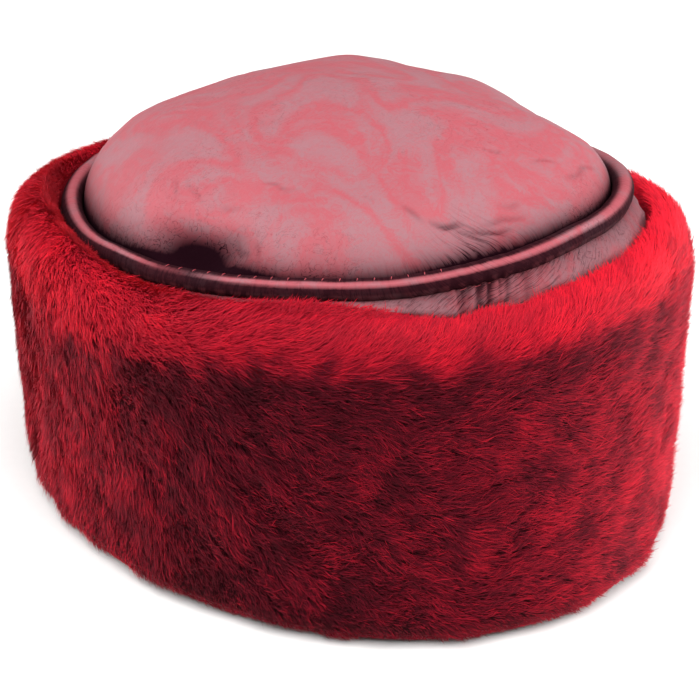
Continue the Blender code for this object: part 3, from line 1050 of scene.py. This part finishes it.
def hide_sections(fur):
    """Closed sections of the hide: the skin under the pile outside, the flesh side within."""
    turn = np.arange(HIDE_COLUMNS)[:, None] * TAU / HIDE_COLUMNS
    along = np.linspace(0, 1, HIDE_ROWS)[None, :]
    turns, alongs = np.broadcast_arrays(turn, along)
    surface, out, _, _ = pile_frame(turns, alongs)
    skin = surface - out * skin_depth(alongs, fur.depth)[..., None]
    edge = piping_loop(turn, HEAD_LEDGE, flare(turn))
    low = oval(HEAD_HALF_AXES, turn, 0.0)
    shares = np.linspace(0, 1, HIDE_INNER_ROWS)[None, :, None]
    inner = mix(edge, low, shares)
    buckle = 0.0007 * waves(turn, shares[..., 0], seed=21, count=18, finest=16)
    buckle = buckle * np.sin(math.pi * shares[..., 0])
    inner += normalized(low * (1, 1, 0)) * buckle[..., None]
    return np.concatenate([skin, inner], axis=1)


class KUBANKA_OT_hide(bpy.types.Operator):
    """Model the hide that carries the pile and is open below for the head."""

    bl_idname = "kubanka.hide"
    bl_label = "Fur Hide"

    def execute(self, context):
        fur = context.scene.kubanka_fur
        sections = hide_sections(fur)
        piece = make_ring("fur_hide", sections, underfur_material(fur))
        piece.data.materials.append(hide_material(fur))
        row = np.arange(HIDE_COLUMNS * sections.shape[1]) % sections.shape[1]
        # Painted light: the underfur under the crest is painted lighter, as the crest is
        set_point_values(piece, "crest", np.clip((row / (HIDE_ROWS - 1) - WALL_END) / CREST_BLEND, 0, 1))
        piece.data.polygons.foreach_set("material_index", (row >= HIDE_ROWS).astype(np.int32))
        fit_to_hat(piece, "dyed_fur", "fur_band")
        return {"FINISHED"}


# Crown


# Dents and puffs fade out this share of the way short of the seam
FORM_FADE = 0.06
# A crease this deep is fully dark with painted shade
CREASE_FULL_SHADE = 0.0012
# How far in the painted shade reaches: the dark line along the seam, and the broader shade above it
SEAM_LINE_SHADE = 0.0018
SEAM_SHADE = 0.0055
# The leather is drawn tight this close to the seam
TIGHT_REACH = 0.006


def crown_base(turn, share, inset=0.0, drop=0.0):
    """Points of the crown's smooth form, on its upper face where inset and drop are 0."""
    share = np.clip(share, 0, 1)
    roll = (1 - share ** CROWN_ROLL_SHARPNESS) ** CROWN_ROLL_POWER
    high = from_table(CROWN_SEAM, "roll", turn)
    rise = (CROWN_RISE - high) * (1 - share ** CROWN_FULLNESS) + high * roll * (1 - pocket(turn, share))
    edge = mix(PIPING_HEIGHT, piping_height(turn), share) - CROWN_EDGE_DROP
    height = edge + rise + crown_forms(turn, share) - drop
    points = piping_loop(turn, height, -PIPING_RADIUS - PIECE_GAP - inset)
    points[..., :2] = mix(np.array(CROWN_DRIFT), points[..., :2], share[..., None])
    return points


def plan_place(turn, share):
    """Where a turn and share lie in the crown's plan."""
    return oval(PIPING_HALF_AXES, turn, 0.0)[..., :2] * np.asarray(share)[..., None]


def pocket_places(turn, share):
    """How far in from the pocket's middle places lie, and how far to its side, in metres."""
    middle = plan_place(np.radians(POCKET["turn"]), POCKET["share"])
    outward = middle / np.linalg.norm(middle)
    apart = plan_place(turn, share) - middle
    return np.clip(-(apart @ outward), 0, None), apart @ np.array([-outward[1], outward[0]])


def pocket(turn, share):
    """How far the crown's rolled edge has fallen in, from 0 to 1: most by the seam."""
    inwards, across = pocket_places(turn, share)
    return np.exp(-((inwards / POCKET["out"]) ** 3) - (across / POCKET["round"]) ** 2)


def pocket_shade(turn, share):
    """How much painted shade darkens the pocket, from 0 to 1: a blunt wedge with its tip inwards."""
    inwards, across = pocket_places(turn, share)
    inwards = inwards / POCKET["tip"]
    return np.exp(-(inwards ** 6) - np.abs(across * (1 + 0.5 * inwards) / POCKET["round"]) ** 2.2)


def crown_forms(turn, share):
    """Height that the dents and puffs add to the crown."""
    place = plan_place(turn, share)
    height = np.zeros_like(share)
    for form in CROWN_FORMS:
        middle = plan_place(np.radians(form["turn"]), form["share"])
        outward = middle / np.linalg.norm(middle)
        apart = place - middle
        out = apart @ outward
        across = apart @ np.array([-outward[1], outward[0]])
        height += form["height"] * np.exp(-((out / form["out"]) ** 2) - (across / form["round"]) ** 2)
    height -= POCKET["depth"] * pocket(turn, share)
    return height * np.minimum(1.0, (1 - share) / FORM_FADE)


def crown_creases(turn, share):
    """Depth of the separate creases, 0 away from them."""
    place = plan_place(turn, share)
    # No crease in leather is straight
    wander = np.stack([soft_noise(place, seed, wavelength=0.011) for seed in (45, 47)], axis=-1)
    place = place + 0.0006 * wander
    depth = np.zeros_like(share)
    for crease in CROWN_CREASES:
        start, end = (plan_place(np.radians(turn_degrees), part)
                      for turn_degrees, part in (crease["start"], crease["end"]))
        line = end - start
        way = np.clip((place - start) @ line / (line @ line), 0, 1)
        apart = np.linalg.norm(place - start - way[..., None] * line, axis=-1)
        fade = np.sin(math.pi * np.clip(way, 0.04, 0.96)) ** 0.5
        depth += crease["depth"] * fade * np.exp(-((apart / crease["width"]) ** 2))
    return depth


def seam_places(turn, inward):
    """Places along the seam and across it, drawn out across it so that wrinkles run long."""
    drift = from_table(CROWN_SEAM, "slant", turn) * inward / CROWN_MEAN_RADIUS
    turn, drawn = np.broadcast_arrays(turn + drift, 0.13 * inward)
    return np.stack([CROWN_MEAN_RADIUS * np.cos(turn), CROWN_MEAN_RADIUS * np.sin(turn), drawn],
                    axis=-1)


def gathered(turn, inward):
    """How strongly the crown's leather is gathered, from 0 to 1."""
    fade = np.clip(1 - inward / (1.2 * from_table(CROWN_SEAM, "reach", turn)), 0, 1)
    return from_table(CROWN_SEAM, "strength", turn) * fade ** 1.2


def gather_depth(turn, inward, seed, pitch, half_width):
    """Depth of the gathers, from 0 to about 1, at turns and distances in from the seam."""
    rng = np.random.default_rng(seed)
    loop = math.pi * sum(PIPING_HALF_AXES)
    count = int(loop / pitch)
    total = np.zeros(np.broadcast(turn, inward).shape)
    for number in range(count):
        middle = (number + rng.uniform(-0.42, 0.42)) * TAU / count
        size = rng.uniform(0.35, 1.0)
        reach = from_table(CROWN_SEAM, "reach", middle) * rng.uniform(0.45, 1.25)
        width = half_width * rng.uniform(0.7, 1.5)
        slant = rng.normal(0, 0.30) - from_table(CROWN_SEAM, "slant", middle)
        bend = rng.normal(0, 18)
        strength = from_table(CROWN_SEAM, "strength", middle)
        apart = ((turn - middle + math.pi) % TAU - math.pi) * loop / TAU
        apart = apart - slant * inward - bend * inward ** 2
        widen = width * (1 + 0.8 * inward / reach)
        fade = np.clip(1 - inward / reach, 0, 1) ** 1.3
        total += strength * size * fade * np.exp(-((apart / widen) ** 2))
    return total


CROWN_COLUMNS = 1040
# Rings of the crown from the seam inwards: each zone ends at a share of the way out, has
# rings this far apart in metres, and half as many columns as the zone outside it
CROWN_ZONES = table(
    "end spacing",
    (0.80, 0.00075),
    (0.44, 0.00125),
    (0.20, 0.00200),
    (0.09, 0.00240),
)
# Rings that follow the steep rolled edge, and the share of the way that they take
EDGE_RINGS = 8
EDGE_REACH = 0.016


def crown_rings():
    """Share and column count of each ring of the crown, from the seam inwards."""
    rings = []
    start, columns = 1.0, CROWN_COLUMNS
    for zone in CROWN_ZONES:
        steps = max(2, round((start - zone["end"]) * CROWN_MEAN_RADIUS / zone["spacing"]))
        if start == 1.0:
            rings += [(1 - EDGE_REACH * (step / EDGE_RINGS) ** 2, columns) for step in range(EDGE_RINGS)]
            start = 1 - EDGE_REACH
            steps -= 2
        else:
            start = mix(start, zone["end"], 1 / steps)
            steps -= 1
        rings += [(mix(start, zone["end"], step / steps), columns) for step in range(steps + 1)]
        start = zone["end"]
        columns //= 2
    return rings


def join_rings(counts):
    """Triangles between rings of points, where a ring has as many as the last one, or half."""
    groups = []
    first = 0
    for outer, inner in zip(counts, counts[1:]):
        index = np.arange(inner)
        after = (index + 1) % inner
        near, near_after = first + outer + index, first + outer + after
        if outer == inner:
            a, b = first + index, first + after
            groups += [np.stack([a, b, near_after], axis=1), np.stack([a, near_after, near], axis=1)]
        else:
            a, b, c = first + 2 * index, first + 2 * index + 1, first + (2 * index + 2) % outer
            groups += [np.stack([a, b, near], axis=1), np.stack([b, near_after, near], axis=1),
                       np.stack([b, c, near_after], axis=1)]
        first += outer
    return groups, first


def soft_noise(plan, seed, wavelength):
    """Soft unevenness of about unit size over the crown's plan, of one wavelength in metres."""
    rng = np.random.default_rng(seed)
    total = np.zeros(plan.shape[:-1])
    count = 18
    for _ in range(count):
        heading = rng.uniform(0, TAU)
        number = TAU / (wavelength * rng.uniform(0.75, 1.6))
        wave = number * (plan @ np.array([math.cos(heading), math.sin(heading)]))
        total += np.sin(wave + rng.uniform(0, TAU))
    return total * math.sqrt(2 / count)


def disc_places(shares, counts):
    """Turn and share of each point of a disc: its rings from the seam inwards, and its middle."""
    turn = np.concatenate([np.arange(count) * TAU / count for count in counts] + [[0.0]])
    share = np.concatenate([np.full(count, part) for part, count in zip(shares, counts)] + [[0.0]])
    return turn, share


def disc_faces(counts):
    """Triangles of a disc, from its outermost ring to its middle point, which is numbered last."""
    groups, last_first = join_rings(counts)
    index = np.arange(counts[-1])
    middle = np.full(counts[-1], sum(counts))
    groups.append(np.stack([last_first + index, last_first + (index + 1) % counts[-1], middle], axis=1))
    return np.concatenate(groups)


def crown_upper(leather):
    """The crown's upper face: points, triangles, and each point's painted shade, place and gathers."""
    shares, counts = zip(*crown_rings())
    turn, share = disc_places(shares, counts)
    inner = np.clip(share - SMALL_STEP, 0, 1)
    outward = crown_base(turn, inner + SMALL_STEP) - crown_base(turn, inner)
    off_middle = np.maximum(share, 0.02)
    round_way = crown_base(turn + SMALL_STEP, off_middle) - crown_base(turn, off_middle)
    normal = normalized(np.cross(outward, round_way))
    normal[-1] = (0, 0, 1)
    inward = (1 - share) * CROWN_MEAN_RADIUS
    gathers = gather_depth(turn, inward, seed=31, pitch=0.0034, half_width=0.0007)
    creases = crown_creases(turn, share)
    plan = plan_place(turn, share)
    slack = leather.slackness * (soft_noise(plan, seed=41, wavelength=0.042)
                                 + 0.25 * soft_noise(plan, seed=43, wavelength=0.013))
    relief = slack * np.minimum(1.0, inward / TIGHT_REACH)
    relief -= leather.gather_depth * gathers + creases
    points = crown_base(turn, share) + normal * relief[:, None]
    # Painted shade: in the pocket, along the seam, in the creases and in the gathers
    fallen = pocket_shade(turn, share)
    seam = 0.85 * np.exp(-inward / SEAM_LINE_SHADE)
    seam += from_table(CROWN_SEAM, "shade", turn) * np.exp(-inward / SEAM_SHADE)
    depth = np.clip(0.25 * gathers + creases / CREASE_FULL_SHADE + 1.1 * fallen + seam, 0, 1)
    return points, disc_faces(counts), depth, seam_places(turn, inward), gathered(turn, inward)


UNDER_COLUMNS = 130
UNDER_RINGS = 16
# The square that the map of a face covers, in metres, and each face's share of the map
MAP_SQUARE = 0.21
UPPER_MAP = 0.70
UNDER_MAP = 0.28


def crown_under(upper_count):
    """The crown's underside: points, and triangles that number them after the upper face's."""
    counts = [CROWN_COLUMNS // 2, CROWN_COLUMNS // 4] + [UNDER_COLUMNS] * UNDER_RINGS
    shares = [1.0, 0.985] + list(np.linspace(0.96, 0.06, UNDER_RINGS))
    turn, share = disc_places(shares, counts)
    near_seam = np.clip((1 - share) / 0.04, 0, 1)
    points = crown_base(turn, share, CROWN_EDGE_INSET * share * near_seam,
                        CROWN_THICKNESS * mix(0.35, 1.0, near_seam))
    # The first ring is the upper face's own edge
    numbers = np.concatenate([np.arange(CROWN_COLUMNS), upper_count + np.arange(len(points))])
    return points, numbers[disc_faces([CROWN_COLUMNS] + counts)][:, ::-1]


class KUBANKA_OT_crown(bpy.types.Operator):
    """Model the padded crown, gathered into its seam, and its underside."""

    bl_idname = "kubanka.crown"
    bl_label = "Crown Leather"

    def execute(self, context):
        leather = context.scene.kubanka_leather
        upper, upper_faces, depth, places, pulled = crown_upper(leather)
        under, under_faces = crown_under(len(upper))
        points = np.concatenate([upper, under])
        material = marbled_leather_material("rubbed_aniline_sheepskin", leather, 0.45, 1.0)
        piece = new_piece("crown_leather", points, [upper_faces, under_faces], material)
        # Painted shade: the upper face's, and a little over the whole underside
        set_point_values(piece, "crease", np.concatenate([depth, np.full(len(under), 0.3)]))
        set_point_values(piece, "gathered", np.concatenate([pulled, np.zeros(len(under))]))
        set_point_vectors(piece, "seam_place", np.concatenate([places, under]))
        plan = points[:, :2] / MAP_SQUARE + 0.5
        upper_map = plan[upper_faces.ravel()] * UPPER_MAP
        under_map = plan[under_faces.ravel()] * UNDER_MAP + UPPER_MAP + 0.01
        add_map(piece, np.concatenate([upper_map, under_map]))
        face_outwards(piece)
        fit_to_hat(piece, "crown_leather", "crown_top")
        return {"FINISHED"}


# Piping and side


WELT_COLUMNS = 720
WELT_SIDES = 30


def seam_frame(turn):
    """Directions of the piping's loop: along it, and level away from the hat."""
    here = piping_loop(turn, piping_height(turn))
    ahead = piping_loop(turn + SMALL_STEP, piping_height(turn + SMALL_STEP))
    along = normalized(ahead - here)
    away = normalized(np.cross(along, (0.0, 0.0, 1.0)))
    return along, away


def piping_ruffles(turn, side, stitch_pitch):
    """How deep the piping's leather is ruffled, from 0 to about 1: most on its underside."""
    ruffles = gather_depth(turn, 0.002 * (1 + np.sin(side)), seed=51, pitch=0.0031, half_width=0.0007)
    # Each stitch pulls a notch into the underside
    stitches = round(math.pi * sum(PIPING_HALF_AXES) / stitch_pitch)
    notches = (0.5 + 0.5 * np.cos(stitches * turn)) ** 3 * from_table(CROWN_SEAM, "strength", turn)
    ruffles = 0.5 * ruffles + 0.9 * notches
    return ruffles * (0.35 + 0.65 * np.clip(0.3 - np.sin(side), 0, 1))


def piping_shade(turn, side, ruffles):
    """How much painted shade darkens the piping, from 0 to 1: least along its painted highlight, most in
    its ruffles.
    """
    up_face = (np.degrees(side) + 180) % 360 - 180
    off_line = up_face - from_table(PIPING_PAINTED_HIGHLIGHT, "up", turn)
    off_line = off_line / from_table(PIPING_PAINTED_HIGHLIGHT, "half", turn)
    # Painted highlight: a line up the section where the painted shade is left off
    rubbed = from_table(PIPING_PAINTED_HIGHLIGHT, "clean", turn) * np.exp(-(off_line ** 4))
    # Elsewhere the piping is painted in shade, less between the ruffles of its underside
    off_highlight_shade = np.where(np.sin(side) < 0, 0.84 + 0.16 * np.clip(3 * ruffles, 0, 1), 0.92)
    return np.clip(0.15 * ruffles + off_highlight_shade * (1 - rubbed), 0, 1)


class KUBANKA_OT_piping(bpy.types.Operator):
    """Model the leather-covered cord that joins the crown to its side."""

    bl_idname = "kubanka.piping"
    bl_label = "Crown Piping"

    def execute(self, context):
        leather = context.scene.kubanka_leather
        turn = np.arange(WELT_COLUMNS)[:, None] * TAU / WELT_COLUMNS
        side = np.arange(WELT_SIDES)[None, :] * TAU / WELT_SIDES
        ruffles = piping_ruffles(turn, side, leather.stitch_pitch)
        swell = 0.018 * waves(turn, side * 0, seed=53, count=16, finest=50)
        radius = PIPING_RADIUS * (1 + swell) - 1.2 * leather.gather_depth * ruffles
        along, away = seam_frame(turn)
        middle = piping_loop(turn, piping_height(turn))
        up = np.cross(away, along)
        sections = middle + (np.cos(side) * radius)[..., None] * away
        sections += (np.sin(side) * radius)[..., None] * up
        material = marbled_leather_material("skived_piping_leather", leather, 0.75, 0.97)
        piece = make_ring("piping_welt", sections, material)
        set_point_values(piece, "crease", piping_shade(turn, side, ruffles))
        pulled = (0.10 + 0.35 * from_table(CROWN_SEAM, "strength", turn)) * np.ones_like(side)
        set_point_values(piece, "gathered", pulled)
        set_point_vectors(piece, "seam_place", seam_places(turn, 0.004 * np.sin(side)))
        fit_to_hat(piece, "piping_leather", "crown_piping")
        return {"FINISHED"}


SIDE_COLUMNS = 760
SIDE_ROWS = 14
# How far out the side stands at each share of the way up, beside where the fur meets it
SIDE_SPREAD = ((0, 1.0), (0.35, 1.0), (0.62, 0.90), (0.85, 0.55), (1.0, 0.22))
# The part of the way up that the fur hides
SIDE_HIDDEN = 0.35
# Depth of the side's folds beside the crown's gathers, and the share of the way up where
# they are full
SIDE_FOLD_DEPTH = 2.8
SIDE_FOLDS_FULL = 0.3
# Depth of the finer puckers under the piping beside the folds, and of the slack's bulges
PUCKER_DEPTH = 0.8
BULGE_HEIGHT = 0.0005
# How much painted shade darkens the leather under the piping, and the shares of the way up
# where that starts and that it takes
UNDER_PIPING_SHADE = 0.18
UNDER_PIPING_START = 0.72
UNDER_PIPING_REACH = 0.22
# The flesh side follows every fourth row of the outer face, from the top down
FLESH_ROWS = slice(None, None, -4)


def side_height(turn, share):
    """Height of the side's outer face: from inside the band to the fur's edge, then to the top."""
    top = piping_height(turn) - 0.6 * PIPING_RADIUS
    seat = np.minimum(seat_height(turn), top - 0.001)
    low = mix(SIDE_FOOT_HEIGHT, seat - 0.002, np.clip(share / SIDE_HIDDEN, 0, 1))
    return mix(low, top, np.clip((share - SIDE_HIDDEN) / (1 - SIDE_HIDDEN), 0, 1) ** 0.9)


def side_folds(turn, share):
    """Depth of the side's folds, with finer puckers towards the piping, from 0 to about 1."""
    folds = gather_depth(turn, 0.004 * (1 - share), seed=61, pitch=0.0046, half_width=0.0010)
    puckers = gather_depth(turn, 0.003 * (1 - share), seed=65, pitch=0.0028, half_width=0.0006)
    return folds + PUCKER_DEPTH * share ** 2 * puckers


class KUBANKA_OT_side(bpy.types.Operator):
    """Model the leather wall between the fur and the piping, folded where it is slack."""

    bl_idname = "kubanka.side"
    bl_label = "Crown Side"

    def execute(self, context):
        leather = context.scene.kubanka_leather
        turn = np.arange(SIDE_COLUMNS)[:, None] * TAU / SIDE_COLUMNS
        share = np.linspace(0, 1, SIDE_ROWS)[None, :]
        height = side_height(turn, share)
        out = (flare(turn) - PIECE_GAP) * profile(SIDE_SPREAD, share)
        folds = side_folds(turn, share)
        strength = from_table(SIDE_FOLDS, "strength", turn)
        bulge = BULGE_HEIGHT * waves(turn, 3 * share, seed=63, count=20, finest=40)
        bulge = bulge * np.sin(math.pi * share)
        relief = bulge - (SIDE_FOLD_DEPTH * leather.gather_depth * folds * strength
                          * np.clip(share / SIDE_FOLDS_FULL, 0, 1))
        outer = piping_loop(turn, height, out + relief)
        inner = piping_loop(turn, height - 0.0006, out + relief - SIDE_THICKNESS)[:, FLESH_ROWS]
        material = marbled_leather_material("soft_aniline_sheepskin", leather, 0.35, 0.92)
        piece = make_ring("side_gusset", np.concatenate([outer, inner], axis=1), material)
        slack = np.broadcast_to(strength, folds.shape)
        # Painted shade: round the hat as the table gives, under the piping, and in the folds
        under_piping = np.clip((share - UNDER_PIPING_START) / UNDER_PIPING_REACH, 0, 1)
        dark = from_table(SIDE_FOLDS, "shade", turn) + UNDER_PIPING_SHADE * under_piping
        depth = np.clip(0.75 * folds * strength + dark, 0, 1)
        inward = 0.045 * (1 - share)
        for name, values in (("crease", depth), ("gathered", 0.85 * slack)):
            set_point_values(piece, name, np.concatenate([values, values[:, FLESH_ROWS]], axis=1))
        places = seam_places(turn, inward)
        places = np.concatenate([places, places[:, FLESH_ROWS]], axis=1)
        set_point_vectors(piece, "seam_place", places)
        fit_to_hat(piece, "side_leather", "crown_side")
        return {"FINISHED"}


# Stitches


THREAD_SIDES = 5
THREAD_STATIONS = 6


def stitch_row(middle, along, lift, length, radius, seed):
    """Short arched threads, one at each middle: points, and the faces of closed tubes."""
    rng = np.random.default_rng(seed)
    count = len(middle)
    station = np.linspace(-1, 1, THREAD_STATIONS)[None, :, None]
    slant = rng.normal(0, 0.10, count)[:, None, None]
    across = normalized(np.cross(along, lift))[:, None]
    arch = (1 - station ** 2) ** 0.5
    line = middle[:, None] + along[:, None] * station * length / 2 + across * slant * station * length / 2
    line = line + lift[:, None] * (arch * 0.8 - 0.35) * radius * 2
    thin = radius * np.maximum(0.25, arch)
    side = np.arange(THREAD_SIDES) * TAU / THREAD_SIDES
    rim = np.cos(side)[:, None] * across[:, :, None] + np.sin(side)[:, None] * lift[:, None, None]
    points = line[:, :, None] + rim * thin[..., None]
    each = THREAD_STATIONS * THREAD_SIDES
    step, edge = np.meshgrid(np.arange(THREAD_STATIONS - 1), np.arange(THREAD_SIDES), indexing="ij")
    step, edge = step.ravel(), edge.ravel()
    after = (edge + 1) % THREAD_SIDES
    quads = np.stack([step * THREAD_SIDES + edge, step * THREAD_SIDES + after,
                      (step + 1) * THREAD_SIDES + after, (step + 1) * THREAD_SIDES + edge], axis=1)
    first = np.arange(count)[:, None, None] * each
    caps = np.stack([np.arange(THREAD_SIDES)[::-1], each - THREAD_SIDES + np.arange(THREAD_SIDES)])
    return points.reshape(-1, 3), (first + quads).reshape(-1, 4), (first + caps).reshape(-1, THREAD_SIDES)


# Rows of stitches beside the piping: the place round its section in degrees from level
# outwards, how far from its middle as a share of its radius, the length of a stitch, and
# how many degrees it slants across the seam. They show from one turn to another, in degrees:
# past those the crown's leather folds over its own row.
STITCH_ROWS = table(
    "name round out length slant from to seed",
    ("crown_seam_thread", 86, 0.98, 0.0017, 82, 206, 264, 71),
    ("side_seam_thread", -62, 1.04, 0.0032, 6, 0, 360, 73),
)


class KUBANKA_OT_stitches(bpy.types.Operator):
    """Sew the seams on both sides of the piping."""

    bl_idname = "kubanka.stitches"
    bl_label = "Stitches"

    def execute(self, context):
        leather = context.scene.kubanka_leather
        count = round(math.pi * sum(PIPING_HALF_AXES) / leather.stitch_pitch)
        turn = (np.arange(count) + 0.5) * TAU / count
        along, away = seam_frame(turn)
        up = np.cross(away, along)
        middle = piping_loop(turn, piping_height(turn))
        material = thread_material(leather)
        for row in STITCH_ROWS:
            angle = math.radians(row["round"])
            lift = math.cos(angle) * away + math.sin(angle) * up
            place = middle + lift * PIPING_RADIUS * row["out"]
            slant = math.radians(row["slant"])
            heading = math.cos(slant) * along + math.sin(slant) * np.cross(lift, along)
            shows = (turn > math.radians(row["from"])) & (turn < math.radians(row["to"]))
            points, quads, caps = stitch_row(place[shows], heading[shows], lift[shows], row["length"],
                                             leather.thread_radius, row["seed"])
            piece = new_piece(row["name"], points, [quads, caps], material)
            face_outwards(piece)
            fit_to_hat(piece, "piping_leather")
        return {"FINISHED"}


# Stage


# Soft lights: degrees round from straight behind the hat as the camera sees it, degrees up,
# distance from the hat and size of the light in metres, and the power that feeds it
LIGHTS = table(
    "name turn climb distance size power",
    ("back_light", 6, 36, 1.5, (1.9, 1.0), "back_power"),
    ("top_light", 180, 63, 1.3, (1.8, 1.6), "top_power"),
    ("left_light", 80, 9, 1.3, (1.4, 1.4), "left_power"),
    ("right_light", -84, 6, 1.3, (0.9, 0.9), "right_power"),
)
HAT_MIDDLE = Vector((0.0, 0.0, 0.07))
FLOOR_SIZE = 14.0
ROOM_COLOUR = (1.0, 0.99, 0.985, 1.0)


def camera_matrix():
    """The camera's place and heading in the hat's frame."""
    place = Vector((0.0, -VIEW_DISTANCE * math.cos(VIEW_CLIMB),
                    VIEW_DISTANCE * math.sin(VIEW_CLIMB) + VIEW_HEIGHT))
    forward = Vector((math.sin(VIEW_YAW) * math.cos(VIEW_CLIMB),
                      math.cos(VIEW_YAW) * math.cos(VIEW_CLIMB), -math.sin(VIEW_CLIMB)))
    right = forward.cross((0, 0, 1)).normalized()
    up = right.cross(forward)
    rolled_right = right * math.cos(VIEW_ROLL) + up * math.sin(VIEW_ROLL)
    rolled_up = up * math.cos(VIEW_ROLL) - right * math.sin(VIEW_ROLL)
    heading = Matrix((rolled_right, rolled_up, -forward)).transposed().to_4x4()
    round_hat = Matrix.Translation(Vector(HAT_OFFSET)) @ Matrix.Rotation(-VIEW_TURN, 4, "Z")
    return round_hat @ Matrix.Translation(place) @ heading


class KUBANKA_OT_stage(bpy.types.Operator):
    """Set the floor, the soft lights, the room light and the camera."""

    bl_idname = "kubanka.stage"
    bl_label = "Stage"

    def execute(self, context):
        studio = context.scene.kubanka_studio
        half = FLOOR_SIZE / 2
        corners = np.array([(-half, -half, 0), (half, -half, 0), (half, half, 0), (-half, half, 0)])
        floor = new_piece("floor", corners, [np.array([[0, 1, 2, 3]])], floor_material(studio))
        for light in LIGHTS:
            lamp = bpy.data.lights.new(light["name"], "AREA")
            lamp.shape = "RECTANGLE"
            lamp.size, lamp.size_y = light["size"]
            lamp.energy = getattr(studio, light["power"])
            holder = bpy.data.objects.new(light["name"], lamp)
            turn = math.pi / 2 - VIEW_TURN + math.radians(light["turn"])
            climb = math.radians(light["climb"])
            way = Vector((math.cos(turn) * math.cos(climb), math.sin(turn) * math.cos(climb),
                          math.sin(climb)))
            holder.location = HAT_MIDDLE + way * light["distance"]
            holder.rotation_euler = way.to_track_quat("Z", "Y").to_euler()
            context.scene.collection.objects.link(holder)
        world = bpy.data.worlds.new("pale_room")
        world.use_nodes = True
        background = world.node_tree.nodes["Background"]
        background.inputs["Color"].default_value = ROOM_COLOUR
        background.inputs["Strength"].default_value = studio.sky
        context.scene.world = world
        camera = bpy.data.objects.new("camera", bpy.data.cameras.new("camera"))
        camera.data.lens = studio.lens
        camera.matrix_world = camera_matrix()
        context.scene.collection.objects.link(camera)
        context.scene.camera = camera
        context.scene.view_settings.view_transform = "Standard"
        return {"FINISHED"}


OPERATORS = (KUBANKA_OT_stage, KUBANKA_OT_hide, KUBANKA_OT_pile, KUBANKA_OT_side,
             KUBANKA_OT_piping, KUBANKA_OT_crown, KUBANKA_OT_stitches)


class VIEW3D_PT_kubanka(bpy.types.Panel):
    """Buttons and values of the kubanka."""

    bl_label = "Kubanka"
    bl_space_type = "VIEW_3D"
    bl_region_type = "UI"
    bl_category = "Kubanka"

    def draw(self, context):
        for group in GROUPS:
            settings = getattr(context.scene, group)
            box = self.layout.box()
            for name in settings.bl_rna.properties.keys():
                if name not in {"rna_type", "name"}:
                    box.prop(settings, name)
        for operator in OPERATORS:
            self.layout.operator(operator.bl_idname)


GROUPS = {"kubanka_fur": KubankaFur, "kubanka_leather": KubankaLeather, "kubanka_studio": KubankaStudio}
CLASSES = (*GROUPS.values(), *OPERATORS, VIEW3D_PT_kubanka)


def register():
    """Register the classes and hang the values on the scene."""
    for item in CLASSES:
        bpy.utils.register_class(item)
    for name, group in GROUPS.items():
        setattr(bpy.types.Scene, name, PointerProperty(type=group))


def unregister():
    """Take everything off again."""
    for name in GROUPS:
        delattr(bpy.types.Scene, name)
    for item in reversed(CLASSES):
        bpy.utils.unregister_class(item)


def main():
    """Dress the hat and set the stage."""
    register()
    bpy.ops.kubanka.stage()
    bpy.ops.kubanka.hide()
    bpy.ops.kubanka.pile()
    bpy.ops.kubanka.side()
    bpy.ops.kubanka.piping()
    bpy.ops.kubanka.crown()
    bpy.ops.kubanka.stitches()


if __name__ == "__main__":
    main()
